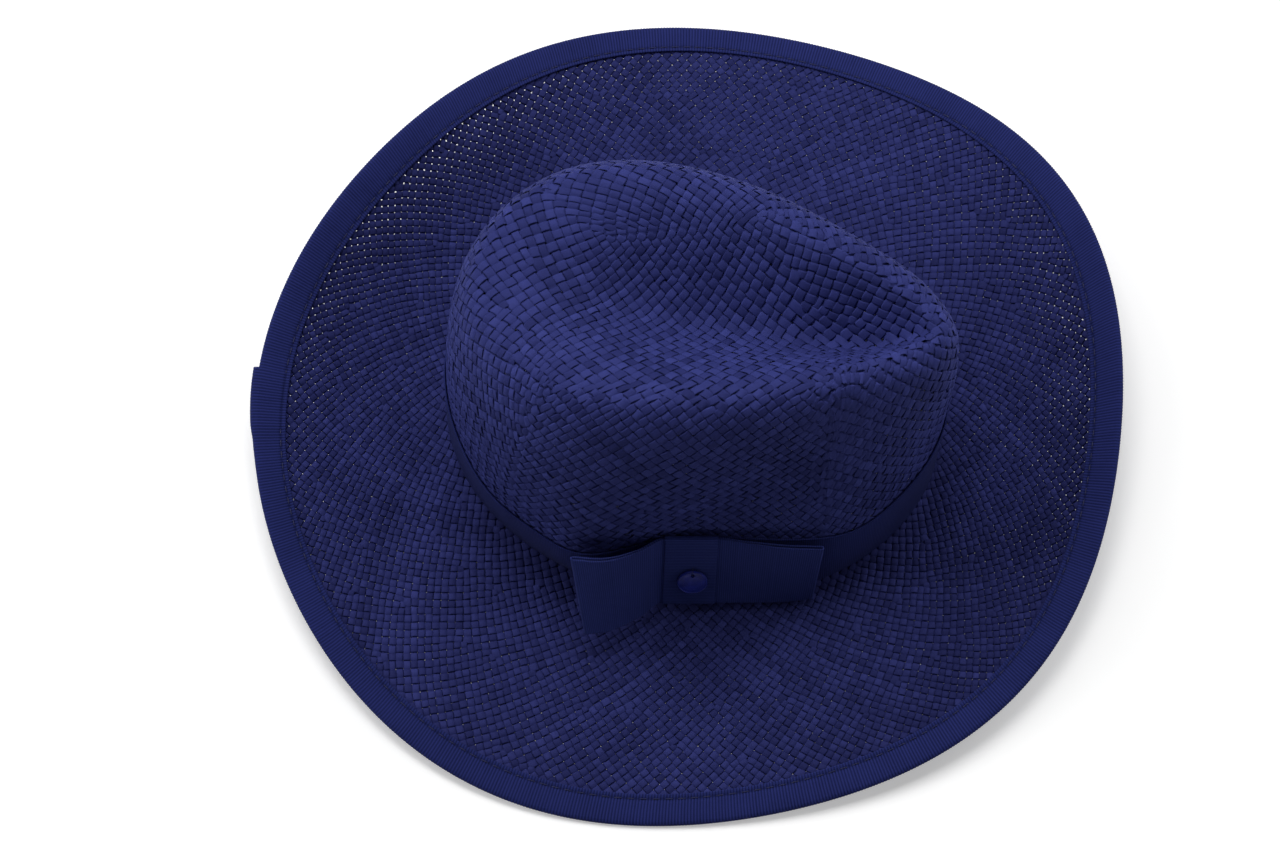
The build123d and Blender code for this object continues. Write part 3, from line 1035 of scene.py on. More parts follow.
@dataclass
class Weave:
    """Turns the crossings into strips that pass over and under each other."""

    crossings: Crossings
    plan: WeavePlan
    section: tuple = ((0.5, 0.0), (0.34, 0.5), (-0.34, 0.5), (-0.5, 0.0), (-0.34, -0.5), (0.34, -0.5))
    crown_thick: float = 0.34 * MM
    brim_thick: float = 0.42 * MM
    crown_lift: float = 0.36 * MM
    brim_lift: float = 0.42 * MM
    seed: int = 5

    def thickness(self, fraction: np.ndarray) -> np.ndarray:
        """Thickness of the strips at a fraction of the way down the hat."""
        return np.where(fraction < 1, self.crown_thick, self.brim_thick)

    def fullness(self) -> np.ndarray:
        """Strip width over strip pitch: tight on the crown, open in places near the edge.

        Returns:
            The share at each crossing: less by bell curves in angle times a ramp outwards.
        """
        c = self.crossings
        open_weave = np.clip((c.fraction - 1.45) / 0.4, 0, 1)
        back_left = bell(wrapped(c.angle - math.radians(140)), math.radians(45))
        front = 0.8 * bell(wrapped(c.angle - math.radians(15)), math.radians(32))
        closed = np.where(c.fraction < 1, 0.965, 0.99)
        return closed - 0.12 * open_weave * np.maximum(back_left, front)

    def painted_shade(self) -> np.ndarray:
        """Painted shade on the outer brim: darker at the back left and at the front right.

        Returns:
            The share at each crossing: bell curves in angle times a ramp outwards.
        """
        c = self.crossings
        outer = np.clip((c.fraction - 1.3) / 0.35, 0, 1)
        back_left = bell(wrapped(c.angle - math.radians(145)), math.radians(38))
        front = bell(wrapped(c.angle + math.radians(20)), math.radians(38))
        return outer * np.maximum(back_left, front)

    def strips(self) -> "StripSet":
        """Work out the direction and width of every strip length, two at each crossing.

        Returns:
            All the strip lengths.
        """
        c, rng = self.crossings, np.random.default_rng(self.seed)
        lengths = np.arange(len(c.points) * 2)
        owner, strip = lengths // 2, lengths % 2
        mates, cross = c.mates[owner, strip], c.mates[owner, 1 - strip]
        home = c.points[owner][:, None]

        def between(links: np.ndarray) -> np.ndarray:
            """Vector from the crossing at one end to that at the other."""
            ends = np.where((links >= 0)[..., None], c.points[np.maximum(links, 0)], home)
            return ends[:, 1] - ends[:, 0]

        way = unit(between(mates))
        both = (cross >= 0).sum(1)
        beside = between(cross) / np.maximum(both, 1)[:, None]
        pitch = np.linalg.norm(np.cross(way, beside), axis=1)
        target = self.plan.pitch(c.fraction)[owner]
        pitch = np.clip(np.where(both > 0, pitch, target), 0.72 * target, 1.3 * target)
        strand = self._strands(owner, mates)
        full = self.fullness()[owner] * np.clip(rng.normal(1, 0.03, len(lengths)), 0.9, 1.04)
        crown = c.fraction[owner] < 1
        by_strand = rng.normal(-0.2, 1, len(lengths))[strand]
        full *= np.clip(1 + np.where(crown, 0.05, 0.015) * by_strand, 0.84, 1.02)
        full *= np.where(crown & (rng.random(len(lengths)) < 0.025), 0.66, 1.0)
        return StripSet(self, rng, owner, strip, strand, mates, way, pitch, pitch * full)

    @staticmethod
    def _strands(owner: np.ndarray, mates: np.ndarray) -> np.ndarray:
        """Number the strands: the lowest length along each one, passed on until it settles.

        Args:
            owner: crossing of each strip length, in pairs.
            mates: next crossings towards both ends.

        Returns:
            The strand of each length.
        """
        first = 2 * np.maximum(mates, 0)
        linked = (mates[first] == owner[:, None, None]).any(-1)
        ahead = np.where(mates < 0, np.arange(len(owner))[:, None], np.where(linked, first, first + 1))
        strand = np.arange(len(owner))
        while True:
            lower = np.minimum(strand, strand[ahead].min(1))
            if (lower == strand).all():
                return strand
            strand = lower


class StripSet:
    """All strip lengths, one for each crossing and strip, with the sections they share."""

    MIRROR = np.array([3, 2, 1, 0, 5, 4])
    STATIONS = np.array([0, 0.2, 0.5, 0.8, 1.0])

    def __init__(self, weave: Weave, rng: np.random.Generator, owner: np.ndarray,
                 strip: np.ndarray, strand: np.ndarray, mates: np.ndarray, way: np.ndarray,
                 pitch: np.ndarray, width: np.ndarray) -> None:
        """Work out the sections.

        Args:
            weave: the weave that they belong to.
            rng: random numbers.
            owner: crossing of each strip length.
            strip: which of the crossing's strips it is.
            strand: the strand that it is part of.
            mates: next crossings towards both ends.
            way: unit direction of each length.
            pitch: distance between strips.
            width: width of each length.
        """
        self.weave, self.owner, self.size = weave, owner, len(weave.section)
        middle = self._share_sections(mates, width)
        c, lengths = weave.crossings, len(owner)
        thick = weave.thickness(c.fraction[owner])
        lift = np.where(c.fraction[owner] < 1, weave.crown_lift, weave.brim_lift)

        # loose ends, tucked under the strip that crosses them
        reach = 0.42 * pitch[:, None] * way
        home, normal = c.points[owner], c.normals[owner]
        near = np.where(self.real[:, :1], middle[self.shared[:, 0]], home - reach)
        far = np.where(self.real[:, 1:], middle[self.shared[:, 1]], home + reach)
        lean = rng.normal(0, 0.045, lengths)
        sign = np.where(c.over[owner] == strip, 1.0, -1.0)
        rise = lift * rng.uniform(0.85, 1.15, lengths) * sign
        self.rows = np.empty((lengths, len(self.STATIONS), self.size, 3))
        for place, t in enumerate(self.STATIONS[1:-1], start=1):
            weights = (2 * (t - 0.5) * (t - 1), -4 * t * (t - 1), 2 * t * (t - 0.5))
            centre = weights[0] * near + weights[1] * home + weights[2] * far
            hump = 1.0 if t == 0.5 else 0.9
            centre = centre + normal * (rise * hump)[:, None]
            self.rows[:, place] = self._sections(centre, way, normal, width, thick, lean)
        for side, (row, tip) in enumerate(((0, near), (4, far))):
            loose = ~self.real[:, side]
            tucked = tip - normal * (0.1 * MM)
            self.rows[loose, row] = self._sections(tucked[loose], way[loose], normal[loose],
                                                   0.8 * width[loose], thick[loose] * 0.8, lean[loose])
        # random tone by strand and by length, less painted shade on the outer brim at the back left and
        # the front right
        tone = rng.normal(0.5, 0.19, lengths)[strand] + rng.normal(0, 0.12, lengths)
        self.tone = np.clip(tone - 0.5 * weave.painted_shade()[owner], 0, 1)

    def _share_sections(self, mates: np.ndarray, width: np.ndarray) -> np.ndarray:
        """Sections halfway between two crossings, which the lengths on both sides share.

        Args:
            mates: next crossings towards both ends.
            width: width of each length.

        Returns:
            The sections' middles.
        """
        c, owner = self.weave.crossings, self.owner
        count = len(c.points)
        low, high = np.minimum(owner[:, None], mates), np.maximum(owner[:, None], mates)
        key = np.where(mates >= 0, low * count + high, -1)
        pairs, index = np.unique(key.ravel(), return_inverse=True)
        self.shared, pairs = index.reshape(key.shape) - 1, pairs[1:]
        self.real = self.shared >= 0
        self.turned = np.stack([mates[:, 0] >= owner, mates[:, 1] <= owner], -1)
        a, b = pairs // count, pairs % count
        total, weight = np.zeros(len(pairs)), np.zeros(len(pairs))
        np.add.at(total, self.shared[self.real],
                  np.broadcast_to(width[:, None], key.shape)[self.real])
        np.add.at(weight, self.shared[self.real], 1)
        middle = (c.points[a] + c.points[b]) / 2
        self.shared_rows = self._sections(
            middle, unit(c.points[b] - c.points[a]), unit(c.normals[a] + c.normals[b]),
            0.97 * total / weight, self.weave.thickness(c.fraction[a]) * 0.8, np.zeros(len(a)))
        return middle

    def _sections(self, centre: np.ndarray, way: np.ndarray, normal: np.ndarray,
                  width: np.ndarray, thick: np.ndarray, lean: np.ndarray) -> np.ndarray:
        """Six points round each centre: width across, thickness up, and a sideways lean.

        Args:
            centre: middles of the sections.
            way: unit directions of the strips.
            normal: directions out of the straw.
            width: widths of the strips.
            thick: thicknesses of the strips.
            lean: slopes across the strips.

        Returns:
            Points by section and by corner.
        """
        across = unit(np.cross(normal, way))
        up = unit(np.cross(way, across))
        x, z = np.array(self.weave.section).T
        side = x * width[:, None]
        height = z * thick[:, None] + lean[:, None] * side
        return centre[:, None] + across[:, None] * side[..., None] + up[:, None] * height[..., None]

    def skin(self, chosen: np.ndarray) -> Skin:
        """Mesh of some of the strip lengths.

        Args:
            chosen: mask by strip length.

        Returns:
            One skin, in which lengths of the same strip share their corners.
        """
        size, own = self.size, np.flatnonzero(chosen)
        row_count, corner = len(self.STATIONS), np.arange(self.size)
        section = own[:, None, None] * row_count + np.arange(row_count)[:, None]
        ids = (len(self.shared_rows) + section) * size + corner
        for side, row in ((0, 0), (1, row_count - 1)):
            tied = self.real[own, side]
            order = np.where(self.turned[own, side][:, None], self.MIRROR, corner)
            ids[tied, row] = (self.shared[own, side][:, None] * size + order)[tied]
        around = (corner + 1) % size
        quads = np.stack([ids[:, :-1, :], ids[:, :-1, around], ids[:, 1:, around], ids[:, 1:, :]], -1)
        u, v = self.STATIONS, 0.5 - np.array(self.weave.section)[:, 0]
        uv = np.empty((*quads.shape, 2))
        uv[..., 0, 0] = uv[..., 1, 0] = u[None, :-1, None]
        uv[..., 2, 0] = uv[..., 3, 0] = u[None, 1:, None]
        uv[..., 0, 1] = uv[..., 3, 1] = v
        uv[..., 1, 1] = uv[..., 2, 1] = v[around]
        tone = np.broadcast_to(self.tone[own][:, None, None, None], quads.shape)
        quads, uv, tone = quads.reshape(-1, 4), uv.reshape(-1, 4, 2), tone.reshape(-1, 4)

        # lids where a strip ends, or goes on in another piece
        uses = np.bincount(self.shared[own][self.real[own]], minlength=len(self.shared_rows))
        lids = lid_quads(size)
        for side, row in ((0, 0), (1, row_count - 1)):
            tied = self.real[own, side]
            last = ~tied
            last[tied] = uses[self.shared[own, side][tied]] == 1
            ends = ids[last, row][:, lids if side else lids[:, ::-1]].reshape(-1, 4)
            quads = np.concatenate([quads, ends])
            uv = np.concatenate([uv, np.full((len(ends), 4, 2), 0.5)])
            tone = np.concatenate([tone, np.full((len(ends), 4), 0.3)])
        points = np.concatenate([self.shared_rows.reshape(-1, 3), self.rows.reshape(-1, 3)])
        kept, packed = np.unique(quads, return_inverse=True)
        return Skin(points[kept], packed.reshape(quads.shape), uv, tone)


class StrawBody:
    """Crown and brim, woven in one piece."""

    ZONES = (("straw_crown_top", 0.0, 0.5), ("straw_crown_wall", 0.5, 0.78),
             ("straw_crown_foot", 0.78, 1.0), ("straw_brim_root", 1.0, 1.24),
             ("straw_brim_inner", 1.24, 1.45), ("straw_brim_middle", 1.45, 1.64),
             ("straw_brim_outer", 1.64, 1.81), ("straw_brim_edge", 1.81, 3.0))

    def __init__(self, form: HatForm) -> None:
        """Lay out the weave on the hat's form.

        Args:
            form: the hat's outer face.
        """
        self.plan = WeavePlan(form, Meridians(form))
        self.crossings = self.plan.lay_out()
        self.strips = Weave(self.crossings, self.plan).strips()

    def build(self) -> None:
        """Make the straw in zones, each of whole rings."""
        crown = StrawFinish("indigo_straw_crown").material()
        # the brim's straw is a darker copy of the crown's, as painted shade, with coarser fibres
        brim = StrawFinish("indigo_straw_brim_painted_shade", rgba(0.0118, 0.0145, 0.074),
                           rgba(0.0350, 0.0425, 0.188), fibres=10.0).material()
        c = self.crossings
        mean = np.zeros(c.ring.max() + 1)
        np.add.at(mean, c.ring, c.fraction)
        mean /= np.bincount(c.ring)
        for name, low, high in self.ZONES:
            inside = (mean[c.ring] >= low) & (mean[c.ring] < high)
            skin = self.strips.skin(inside[self.strips.owner])
            node = ("straw_body",) if name == "straw_crown_top" else ()
            Workshop.piece(name, skin, crown if high <= 1 else brim, "hat", "straw", node)


# ---- Ribbons and threads ----


@dataclass(frozen=True)
class Grosgrain:
    """Ribbed ribbon: its ribs run across it, and its woven edges are a little thicker."""

    pitch: float
    height: float
    thickness: float = 0.5 * MM
    edge_width: float = 1.1 * MM
    edge_swell: float = 0.16 * MM
    per_rib: int = 4

    def rows(self, length: float) -> int:
        """Number of rows in a length of ribbon, in whole ribs."""
        return int(round(length / self.pitch)) * self.per_rib

    def swell(self, rows: int) -> np.ndarray:
        """Height of each row: half round crests with narrow valleys, evenly about zero."""
        share = np.arange(rows) % self.per_rib / self.per_rib
        return self.height * (np.abs(np.sin(math.pi * share)) ** 0.6 - 0.6)

    def edges(self, from_edge: np.ndarray) -> np.ndarray:
        """Extra thickness near the woven edges: a raised cosine of the distance from the edge."""
        share = np.clip(from_edge / self.edge_width, 0.12, 1)
        return self.edge_swell * np.sin(math.pi * share) ** 0.7


@dataclass(frozen=True)
class RibbonFinish:
    """Matt navy grosgrain with fine threads along each rib, a slightly uneven dye, and painted shade in
    the rib valleys.
    """

    name: str
    deep: tuple = rgba(0.0070, 0.0105, 0.058)
    pale: tuple = rgba(0.0270, 0.0370, 0.190)
    seam: float = 0.0

    def material(self) -> bpy.types.Material:
        """Tone by rib and by patch, paler on the rib crests and darker in their valleys as painted light
        and shade, darker along a seam, with thread bump.

        Returns:
            The material.
        """
        bench = Bench(self.name)
        rib, across = bench.lay()
        place = bench.place()
        by_rib = bench.noise(bench.grid(rib * 0.61, 0.0), 1.0, 3.0)
        patch = bench.noise(place, 60.0, 3.0)
        fuzz = bench.noise(place, 2600.0, 2.0)
        # painted light and shade: paler on each rib's crest, darker in its valleys
        painted_rib_shading = (rib * math.pi).wave() ** 2.0
        warp = (across * (TURN / 0.42)).wave() * 0.5 + 0.5
        share = by_rib * 0.3 + patch * 0.3 + painted_rib_shading * 0.6 + (fuzz - 0.5) * 0.4 - 0.17
        if self.seam:
            share = share - ((across - self.seam) ** 2.0 * -3.0).power_of_e() * 0.4
        colour = bench.mix(share.between(0.0, 1.0), self.deep, self.pale)
        bench.bump(warp * 0.4 + fuzz, 0.035 * MM, 0.7)
        return bench.finish(Base_Color=colour, Roughness=0.82, Specular_IOR_Level=0.06,
                            Sheen_Weight=0.02, Sheen_Roughness=0.5)


@dataclass(frozen=True)
class ThreadFinish:
    """Twisted sewing thread, a little glossier than the ribbon."""

    name: str = "navy_thread"
    colour: tuple = rgba(0.011, 0.014, 0.065)
    worn: tuple = rgba(0.020, 0.025, 0.096)

    def material(self) -> bpy.types.Material:
        """Slanted plies as bump and a slight change of tone.

        Returns:
            The material.
        """
        bench = Bench(self.name)
        along, around = bench.lay()
        ply = ((along * 2.1 + around) * math.pi).wave() * 0.5 + 0.5
        fuzz = bench.noise(bench.place(), 4000.0, 2.0)
        bench.bump(ply + fuzz * 0.3, 0.05 * MM, 0.8)
        colour = bench.mix((ply * 0.6 + fuzz * 0.4).between(0.1, 0.9), self.colour, self.worn)
        return bench.finish(Base_Color=colour, Roughness=0.5, Specular_IOR_Level=0.35)


def even_angles(line: Callable[[np.ndarray], np.ndarray], start: float, turn: float,
                count: Callable[[float], int], closed: bool) -> tuple[np.ndarray, float]:
    """Angles at even distances along a line round the hat.

    Args:
        line: gives the line's points from an array of angles.
        start: first angle.
        turn: how far the line goes.
        count: gives the number of angles from the line's length.
        closed: whether the last angle is left out, as on a closed ring.

    Returns:
        The angles and the line's length.
    """
    fine = start + np.linspace(0, turn, 2400)
    points = line(fine)
    run = np.concatenate([[0], np.cumsum(np.linalg.norm(np.diff(points, axis=0), axis=1))])
    even = np.linspace(0, run[-1], count(run[-1]), endpoint=not closed)
    return np.interp(even, run, fine), run[-1]


@dataclass
class StitchLine:
    """A row of separate stitches on a line round the hat."""

    pitch: float = 5.0 * MM
    length: float = 3.5 * MM
    radius: float = 0.2 * MM
    dive: float = 0.42 * MM
    rows: int = 7

    def skin(self, form: HatForm, station: Callable[[np.ndarray], np.ndarray],
             offset: float, face: int) -> Skin:
        """Stitches whose ends dive into the cloth with the fourth power of the way out.

        Args:
            form: the hat's outer face.
            station: gives the line's station from an array of angles.
            offset: height of the stitches' middles over the outer face.
            face: 1 where they lie on the outer side, -1 on the inner side.

        Returns:
            The skin of all stitches.
        """
        middles, length = even_angles(lambda angle: form.skin(angle, station(angle), offset), 0,
                                      TURN, lambda run: int(round(run / self.pitch)), True)
        way = np.linspace(-0.5, 0.5, self.rows)
        angle = middles[:, None] + way * self.length * (TURN / length)
        side, normal = form.directions(angle, station(angle))
        out = np.abs(2 * way)
        centres = form.skin(angle, station(angle), offset) - normal * (face * self.dive * out**4)[:, None]
        radius = self.radius * (1 - 0.3 * out**6)
        return rods(centres, side, normal, radius)


@dataclass
class BrimEdge:
    """Ribbon folded over the brim's edge and its wire, with its ends lapped at the back."""

    form: HatForm
    grain: Grosgrain = Grosgrain(pitch=1.25 * MM, height=0.2 * MM, per_rib=3)
    sewing_gap: float = 0.25 * MM
    wire_radius: float = 0.7 * MM
    width: float = 10.0 * MM
    stitch_inset: float = 2.0 * MM
    lap_start: float = math.radians(183.4)
    lap_turn: float = math.radians(7.5)
    lap_fade: float = math.radians(2.5)
    loose_reach: float = 1.6 * MM
    loose_turn: float = math.radians(15)
    face_rows: tuple = (10.0, 9.5, 8.6, 8.0, 7.4, 5.5, 2.8)
    nose_points: int = 5
    under_rows: tuple = (10.0, 4.0)

    def lift(self, angle: np.ndarray) -> np.ndarray:
        """The lap's outer layer lies over the hidden end, and sinks past it as a smooth step."""
        past = np.clip((angle - self.lap_start - self.lap_turn) / self.lap_fade, 0, 1)
        return (self.grain.thickness + 0.08 * MM) * (1 - past * past * (3 - 2 * past))

    def loose(self, angle: np.ndarray) -> np.ndarray:
        """How far the fold stands out past the wire at the lap's cut end, less by a smooth step."""
        way = np.clip((angle - self.lap_start) / self.loose_turn, 0, 1)
        return self.loose_reach * (1 - way * way * (3 - 2 * way))

    def station(self, angle: np.ndarray, from_edge: np.ndarray | float) -> np.ndarray:
        """Station at a distance in from the brim's edge."""
        return Station.EDGE - from_edge / self.form.brim_run(angle)

    def layer(self, angle: np.ndarray, half: np.ndarray, nose: np.ndarray,
              pucker: np.ndarray) -> np.ndarray:
        """One face of the ribbon: over the brim, round the wire on an ellipse, and under it.

        Args:
            angle: angle of each row.
            half: height over the straw's middle, by row.
            nose: how far the fold reaches past the straw's edge, by row.
            pucker: how far the upper face is drawn in, by row and by place.

        Returns:
            Points by row and by place.
        """
        form, middle = self.form, -self.form.straw / 2
        wire_out = self.sewing_gap + self.wire_radius
        face = MM * np.array(self.face_rows)
        over = form.skin(angle[:, None], self.station(angle[:, None], face),
                         middle + half[:, None] - pucker)
        below = MM * np.array(self.under_rows[::-1])
        under = form.skin(angle[:, None], self.station(angle[:, None], below),
                          middle - half[:, None])
        brink = np.full(len(angle), float(Station.EDGE))
        side, normal = form.directions(angle, brink)
        edge = form.skin(angle, brink, middle)
        turn = np.linspace(math.pi / 2, -math.pi / 2, self.nose_points)
        out = wire_out + (nose - wire_out)[:, None] * np.cos(turn)
        up = half[:, None] * np.sin(turn)
        fold = edge[:, None] + side[:, None] * out[..., None] + normal[:, None] * up[..., None]
        return np.concatenate([over, fold, under], 1)

    def ribbon_skin(self) -> Skin:
        """The whole ribbon, from the lap's cut end round to the end hidden under it.

        Returns:
            The skin.
        """
        form, grain = self.form, self.grain
        angle, length = even_angles(lambda turn: form.point(turn, Station.EDGE), self.lap_start,
                                    TURN + self.lap_turn, grain.rows, False)
        count = len(angle)
        lift = self.lift(angle)
        half = form.straw / 2 + self.sewing_gap + lift
        nose = 3 * self.sewing_gap + 2 * self.wire_radius + lift + self.loose(angle)
        rib = grain.swell(count)
        face = MM * np.array(self.face_rows)
        way = np.linspace(0, length, count)
        beat = 0.5 - 0.5 * np.cos(TURN * way / StitchLine.pitch)
        stitch_row = self.width - self.stitch_inset
        pull = bell(face - stitch_row, 0.55 * MM)
        pucker = (0.12 * MM + 0.16 * MM * beat[:, None]) * pull
        edge = grain.edges(self.width - face)
        outer = self.layer(angle, half + grain.thickness + rib, nose + grain.thickness + rib,
                           pucker - edge)
        inner = self.layer(angle, half, nose, np.minimum(pucker, 0.12 * MM))
        outline = np.concatenate([outer, inner[:, ::-1]], 1)
        places = np.concatenate([self.face_rows, np.linspace(1, -1, self.nose_points),
                                 -np.array(self.under_rows[::-1])])
        return tubes(outline[None], False, np.concatenate([places, places[::-1]]), grain.per_rib)

    def build(self) -> None:
        """Sew the ribbon on."""
        inset = self.width - self.stitch_inset
        navy = RibbonFinish("navy_grosgrain_binding", seam=inset / MM).material()
        Workshop.piece("brim_binding_ribbon", self.ribbon_skin(), navy, "hat", "grosgrain",
                       ("brim_binding",))
        half = self.form.straw / 2 + self.sewing_gap + self.grain.thickness
        stitches = StitchLine()
        over, under = (stitches.skin(self.form, lambda angle: self.station(angle, inset),
                                     face * half - self.form.straw / 2, face) for face in (1, -1))
        Workshop.piece("binding_stitches", over.join(under), ThreadFinish().material(),
                       "hat", "thread", ("binding_stitching",))


@dataclass
class CrownBands:
    """Hatband round the crown, and sweatband, its stitches and the size tag inside."""

    form: HatForm
    grain: Grosgrain = Grosgrain(pitch=0.85 * MM, height=0.11 * MM)
    sewing_gap: float = 0.25 * MM
    band_low: float = 4.5 * MM
    band_high: float = 36.0 * MM
    sweatband: float = 0.8 * MM
    sweatband_high: float = 33.0 * MM
    sweatband_stitch: float = 7.0 * MM
    tag: float = 0.25 * MM
    tag_width: float = 22.0 * MM
    tag_low: float = 12.0 * MM
    tag_high: float = 24.0 * MM
    layer_gap: float = 0.15 * MM

    @property
    def band_face(self) -> float:
        """Hatband's outer face, over the straw."""
        return self.sewing_gap + self.grain.thickness

    @property
    def lining_face(self) -> float:
        """Sweatband's inner face."""
        return -self.form.straw - self.sewing_gap - self.sweatband

    def band(self, heights: np.ndarray, outer: np.ndarray, inner: np.ndarray,
             angle: np.ndarray, closed: bool = True, per_rib: int = 1) -> Skin:
        """Skin of a band: each row goes up its outer face and down its inner one.

        Args:
            heights: heights of the places across the band.
            outer: outer face over the straw, by row and by place.
            inner: inner face over the straw, by row and by place.
            angle: angle of each row.
            closed: whether the band goes all the way round.
            per_rib: number of rows to one rib.

        Returns:
            The skin.
        """
        station = self.form.wall_station(heights)[None, :]
        up = self.form.skin(angle[:, None], station, outer)
        down = self.form.skin(angle[:, None], station, inner)[:, ::-1]
        places = np.concatenate([heights, heights[::-1]]) / MM
        return tubes(np.concatenate([up, down], 1)[None], closed, places, per_rib)

    def hatband_skin(self) -> Skin:
        """Grosgrain band, ribbed up and down, whose woven edges stand out.

        Returns:
            The skin.
        """
        grain = self.grain
        shares = np.array([0, 0.012, 0.035, 0.07, 0.3, 0.5, 0.7, 0.93, 0.965, 0.988, 1])
        width = self.band_high - self.band_low
        heights = self.band_low + width * shares
        from_edge = width * np.minimum(shares, 1 - shares)
        top = self.form.wall_station(self.band_high)
        angle, _ = even_angles(lambda turn: self.form.skin(turn, top, self.band_face), 0, TURN,
                               grain.rows, True)
        emphasis = 1 + 0.8 * bell(from_edge, grain.edge_width)
        rib = grain.swell(len(angle))[:, None] * emphasis
        outer = self.band_face + rib + grain.edges(from_edge)
        inner = np.full_like(outer, self.sewing_gap)
        return self.band(heights, outer, inner, angle, per_rib=grain.per_rib)

    def sweatband_skin(self) -> Skin:
        """Plain band with a rolled lower edge: thickness grows as a bell curve at the roll.

        Returns:
            The skin.
        """
        shares = np.array([0, 0.02, 0.05, 0.09, 0.14, 0.2, 0.4, 0.6, 0.8, 0.94, 0.98, 1])
        width = self.sweatband_high - self.band_low
        heights = self.band_low + width * shares
        angle = np.arange(480) * TURN / 480
        roll = 0.5 * MM * bell(shares - 0.05, 0.05)
        soft = 0.12 * MM * np.sin(9 * angle)[:, None] * shares * (1 - shares) * 4
        taper = 0.3 * MM * (np.maximum(shares - 0.9, 0) / 0.1) ** 2
        inner = self.lining_face - roll + soft + taper
        outer = np.full_like(inner, -self.form.straw - self.sewing_gap)
        return self.band(heights, outer, inner, angle)

    def tag_skin(self) -> Skin:
        """Small cloth tag with turned-in ends, that lifts a little at its lower edge.

        Returns:
            The skin.
        """
        base = self.form.opening_length / 2
        angle = math.pi + self.tag_width / base * np.linspace(-0.5, 0.5, 41)
        shares = np.array([0, 0.03, 0.08, 0.3, 0.55, 0.8, 0.92, 0.97, 1])
        heights = self.tag_low + (self.tag_high - self.tag_low) * shares
        end = np.linspace(-1, 1, 41)[:, None]
        turned = 0.12 * MM * bell(np.abs(end) - 0.93, 0.06)
        outer = np.full((41, 9), self.lining_face - self.layer_gap)
        inner = outer - self.tag - turned - 0.1 * MM * (1 - shares) ** 2
        return self.band(heights, outer, inner, angle, closed=False)

    def build(self) -> None:
        """Put the bands on and in."""
        Workshop.piece("hatband_ribbon", self.hatband_skin(),
                       RibbonFinish("navy_grosgrain_band").material(), "hat", "grosgrain", ("hatband",))
        Workshop.piece("sweatband_tape", self.sweatband_skin(), TapeFinish().material(),
                       "hat", "sweatband", ("sweatband",))
        seam = self.form.wall_station(self.sweatband_stitch)
        offset = self.lining_face - 0.05 * MM - StitchLine.radius
        stitches = StitchLine(pitch=3.6 * MM, length=2.6 * MM)
        Workshop.piece("sweatband_stitches",
                       stitches.skin(self.form, lambda angle: seam + 0 * angle, offset, -1),
                       ThreadFinish("lining_thread").material(), "hat", "thread",
                       ("sweatband_stitching",))
        Workshop.piece("blank_size_tag", self.tag_skin(), TagFinish().material(), "hat", "tag",
                       ("size_tag",))


@dataclass(frozen=True)
class TapeFinish:
    """Navy herringbone tape of the sweatband."""

    name: str = "navy_sweatband_tape"
    deep: tuple = rgba(0.010, 0.012, 0.050)
    pale: tuple = rgba(0.026, 0.031, 0.112)

    def material(self) -> bpy.types.Material:
        """Slanted lines that turn back every few millimetres, from a folded sine.

        Returns:
            The material.
        """
        bench = Bench(self.name)
        around, height = bench.lay()
        zigzag = (height * (TURN / 6.0)).wave()
        twill = ((around * 2.6 + zigzag * 1.1) * TURN).wave() * 0.5 + 0.5
        fuzz = bench.noise(bench.place(), 1800.0, 2.0)
        bench.bump(twill + fuzz * 0.5, 0.08 * MM, 0.7)
        colour = bench.mix((twill * 0.6 + fuzz * 0.5).between(0.1, 1.0), self.deep, self.pale)
        return bench.finish(Base_Color=colour, Roughness=0.85, Specular_IOR_Level=0.15)


@dataclass(frozen=True)
class TagFinish:
    """Plain satin of the blank size tag."""

    name: str = "pale_satin_tag"
    deep: tuple = rgba(0.42, 0.43, 0.46)
    pale: tuple = rgba(0.62, 0.63, 0.66)

    def material(self) -> bpy.types.Material:
        """Fine threads across the tag.

        Returns:
            The material.
        """
        bench = Bench(self.name)
        _, height = bench.lay()
        thread = (height * (TURN / 0.3)).wave() * 0.5 + 0.5
        fuzz = bench.noise(bench.place(), 900.0, 3.0)
        bench.bump(thread + fuzz * 0.4, 0.04 * MM, 0.6)
        colour = bench.mix((thread * 0.5 + fuzz * 0.5).between(0.1, 0.9), self.deep, self.pale)
        return bench.finish(Base_Color=colour, Roughness=0.55, Specular_IOR_Level=0.3)


# ---- Bow and charm ----


def hermite(x: np.ndarray, known: np.ndarray) -> np.ndarray:
    """Cubic Hermite curve through known points, level at the last one.

    The other slopes are means of their two chords, and the first is its chord's.

    Args:
        x: where to find the curve, between the first and last known place.
        known: places and values in order, in an array of N rows of 2.

    Returns:
        Values at x.
    """
    place, value = known.T
    chord = np.diff(value) / np.diff(place)
    slope = np.concatenate([[chord[0]], (chord[:-1] + chord[1:]) / 2, [0.0]])
    k = np.clip(np.searchsorted(place * np.sign(place[-1] - place[0]),
                                x * np.sign(place[-1] - place[0])) - 1, 0, len(place) - 2)
    run = place[k + 1] - place[k]
    t = (x - place[k]) / run
    return (value[k] * (1 + 2 * t) * (1 - t) ** 2 + value[k + 1] * t * t * (3 - 2 * t)
            + run * (slope[k] * t * (1 - t) ** 2 - slope[k + 1] * t * t * (1 - t)))


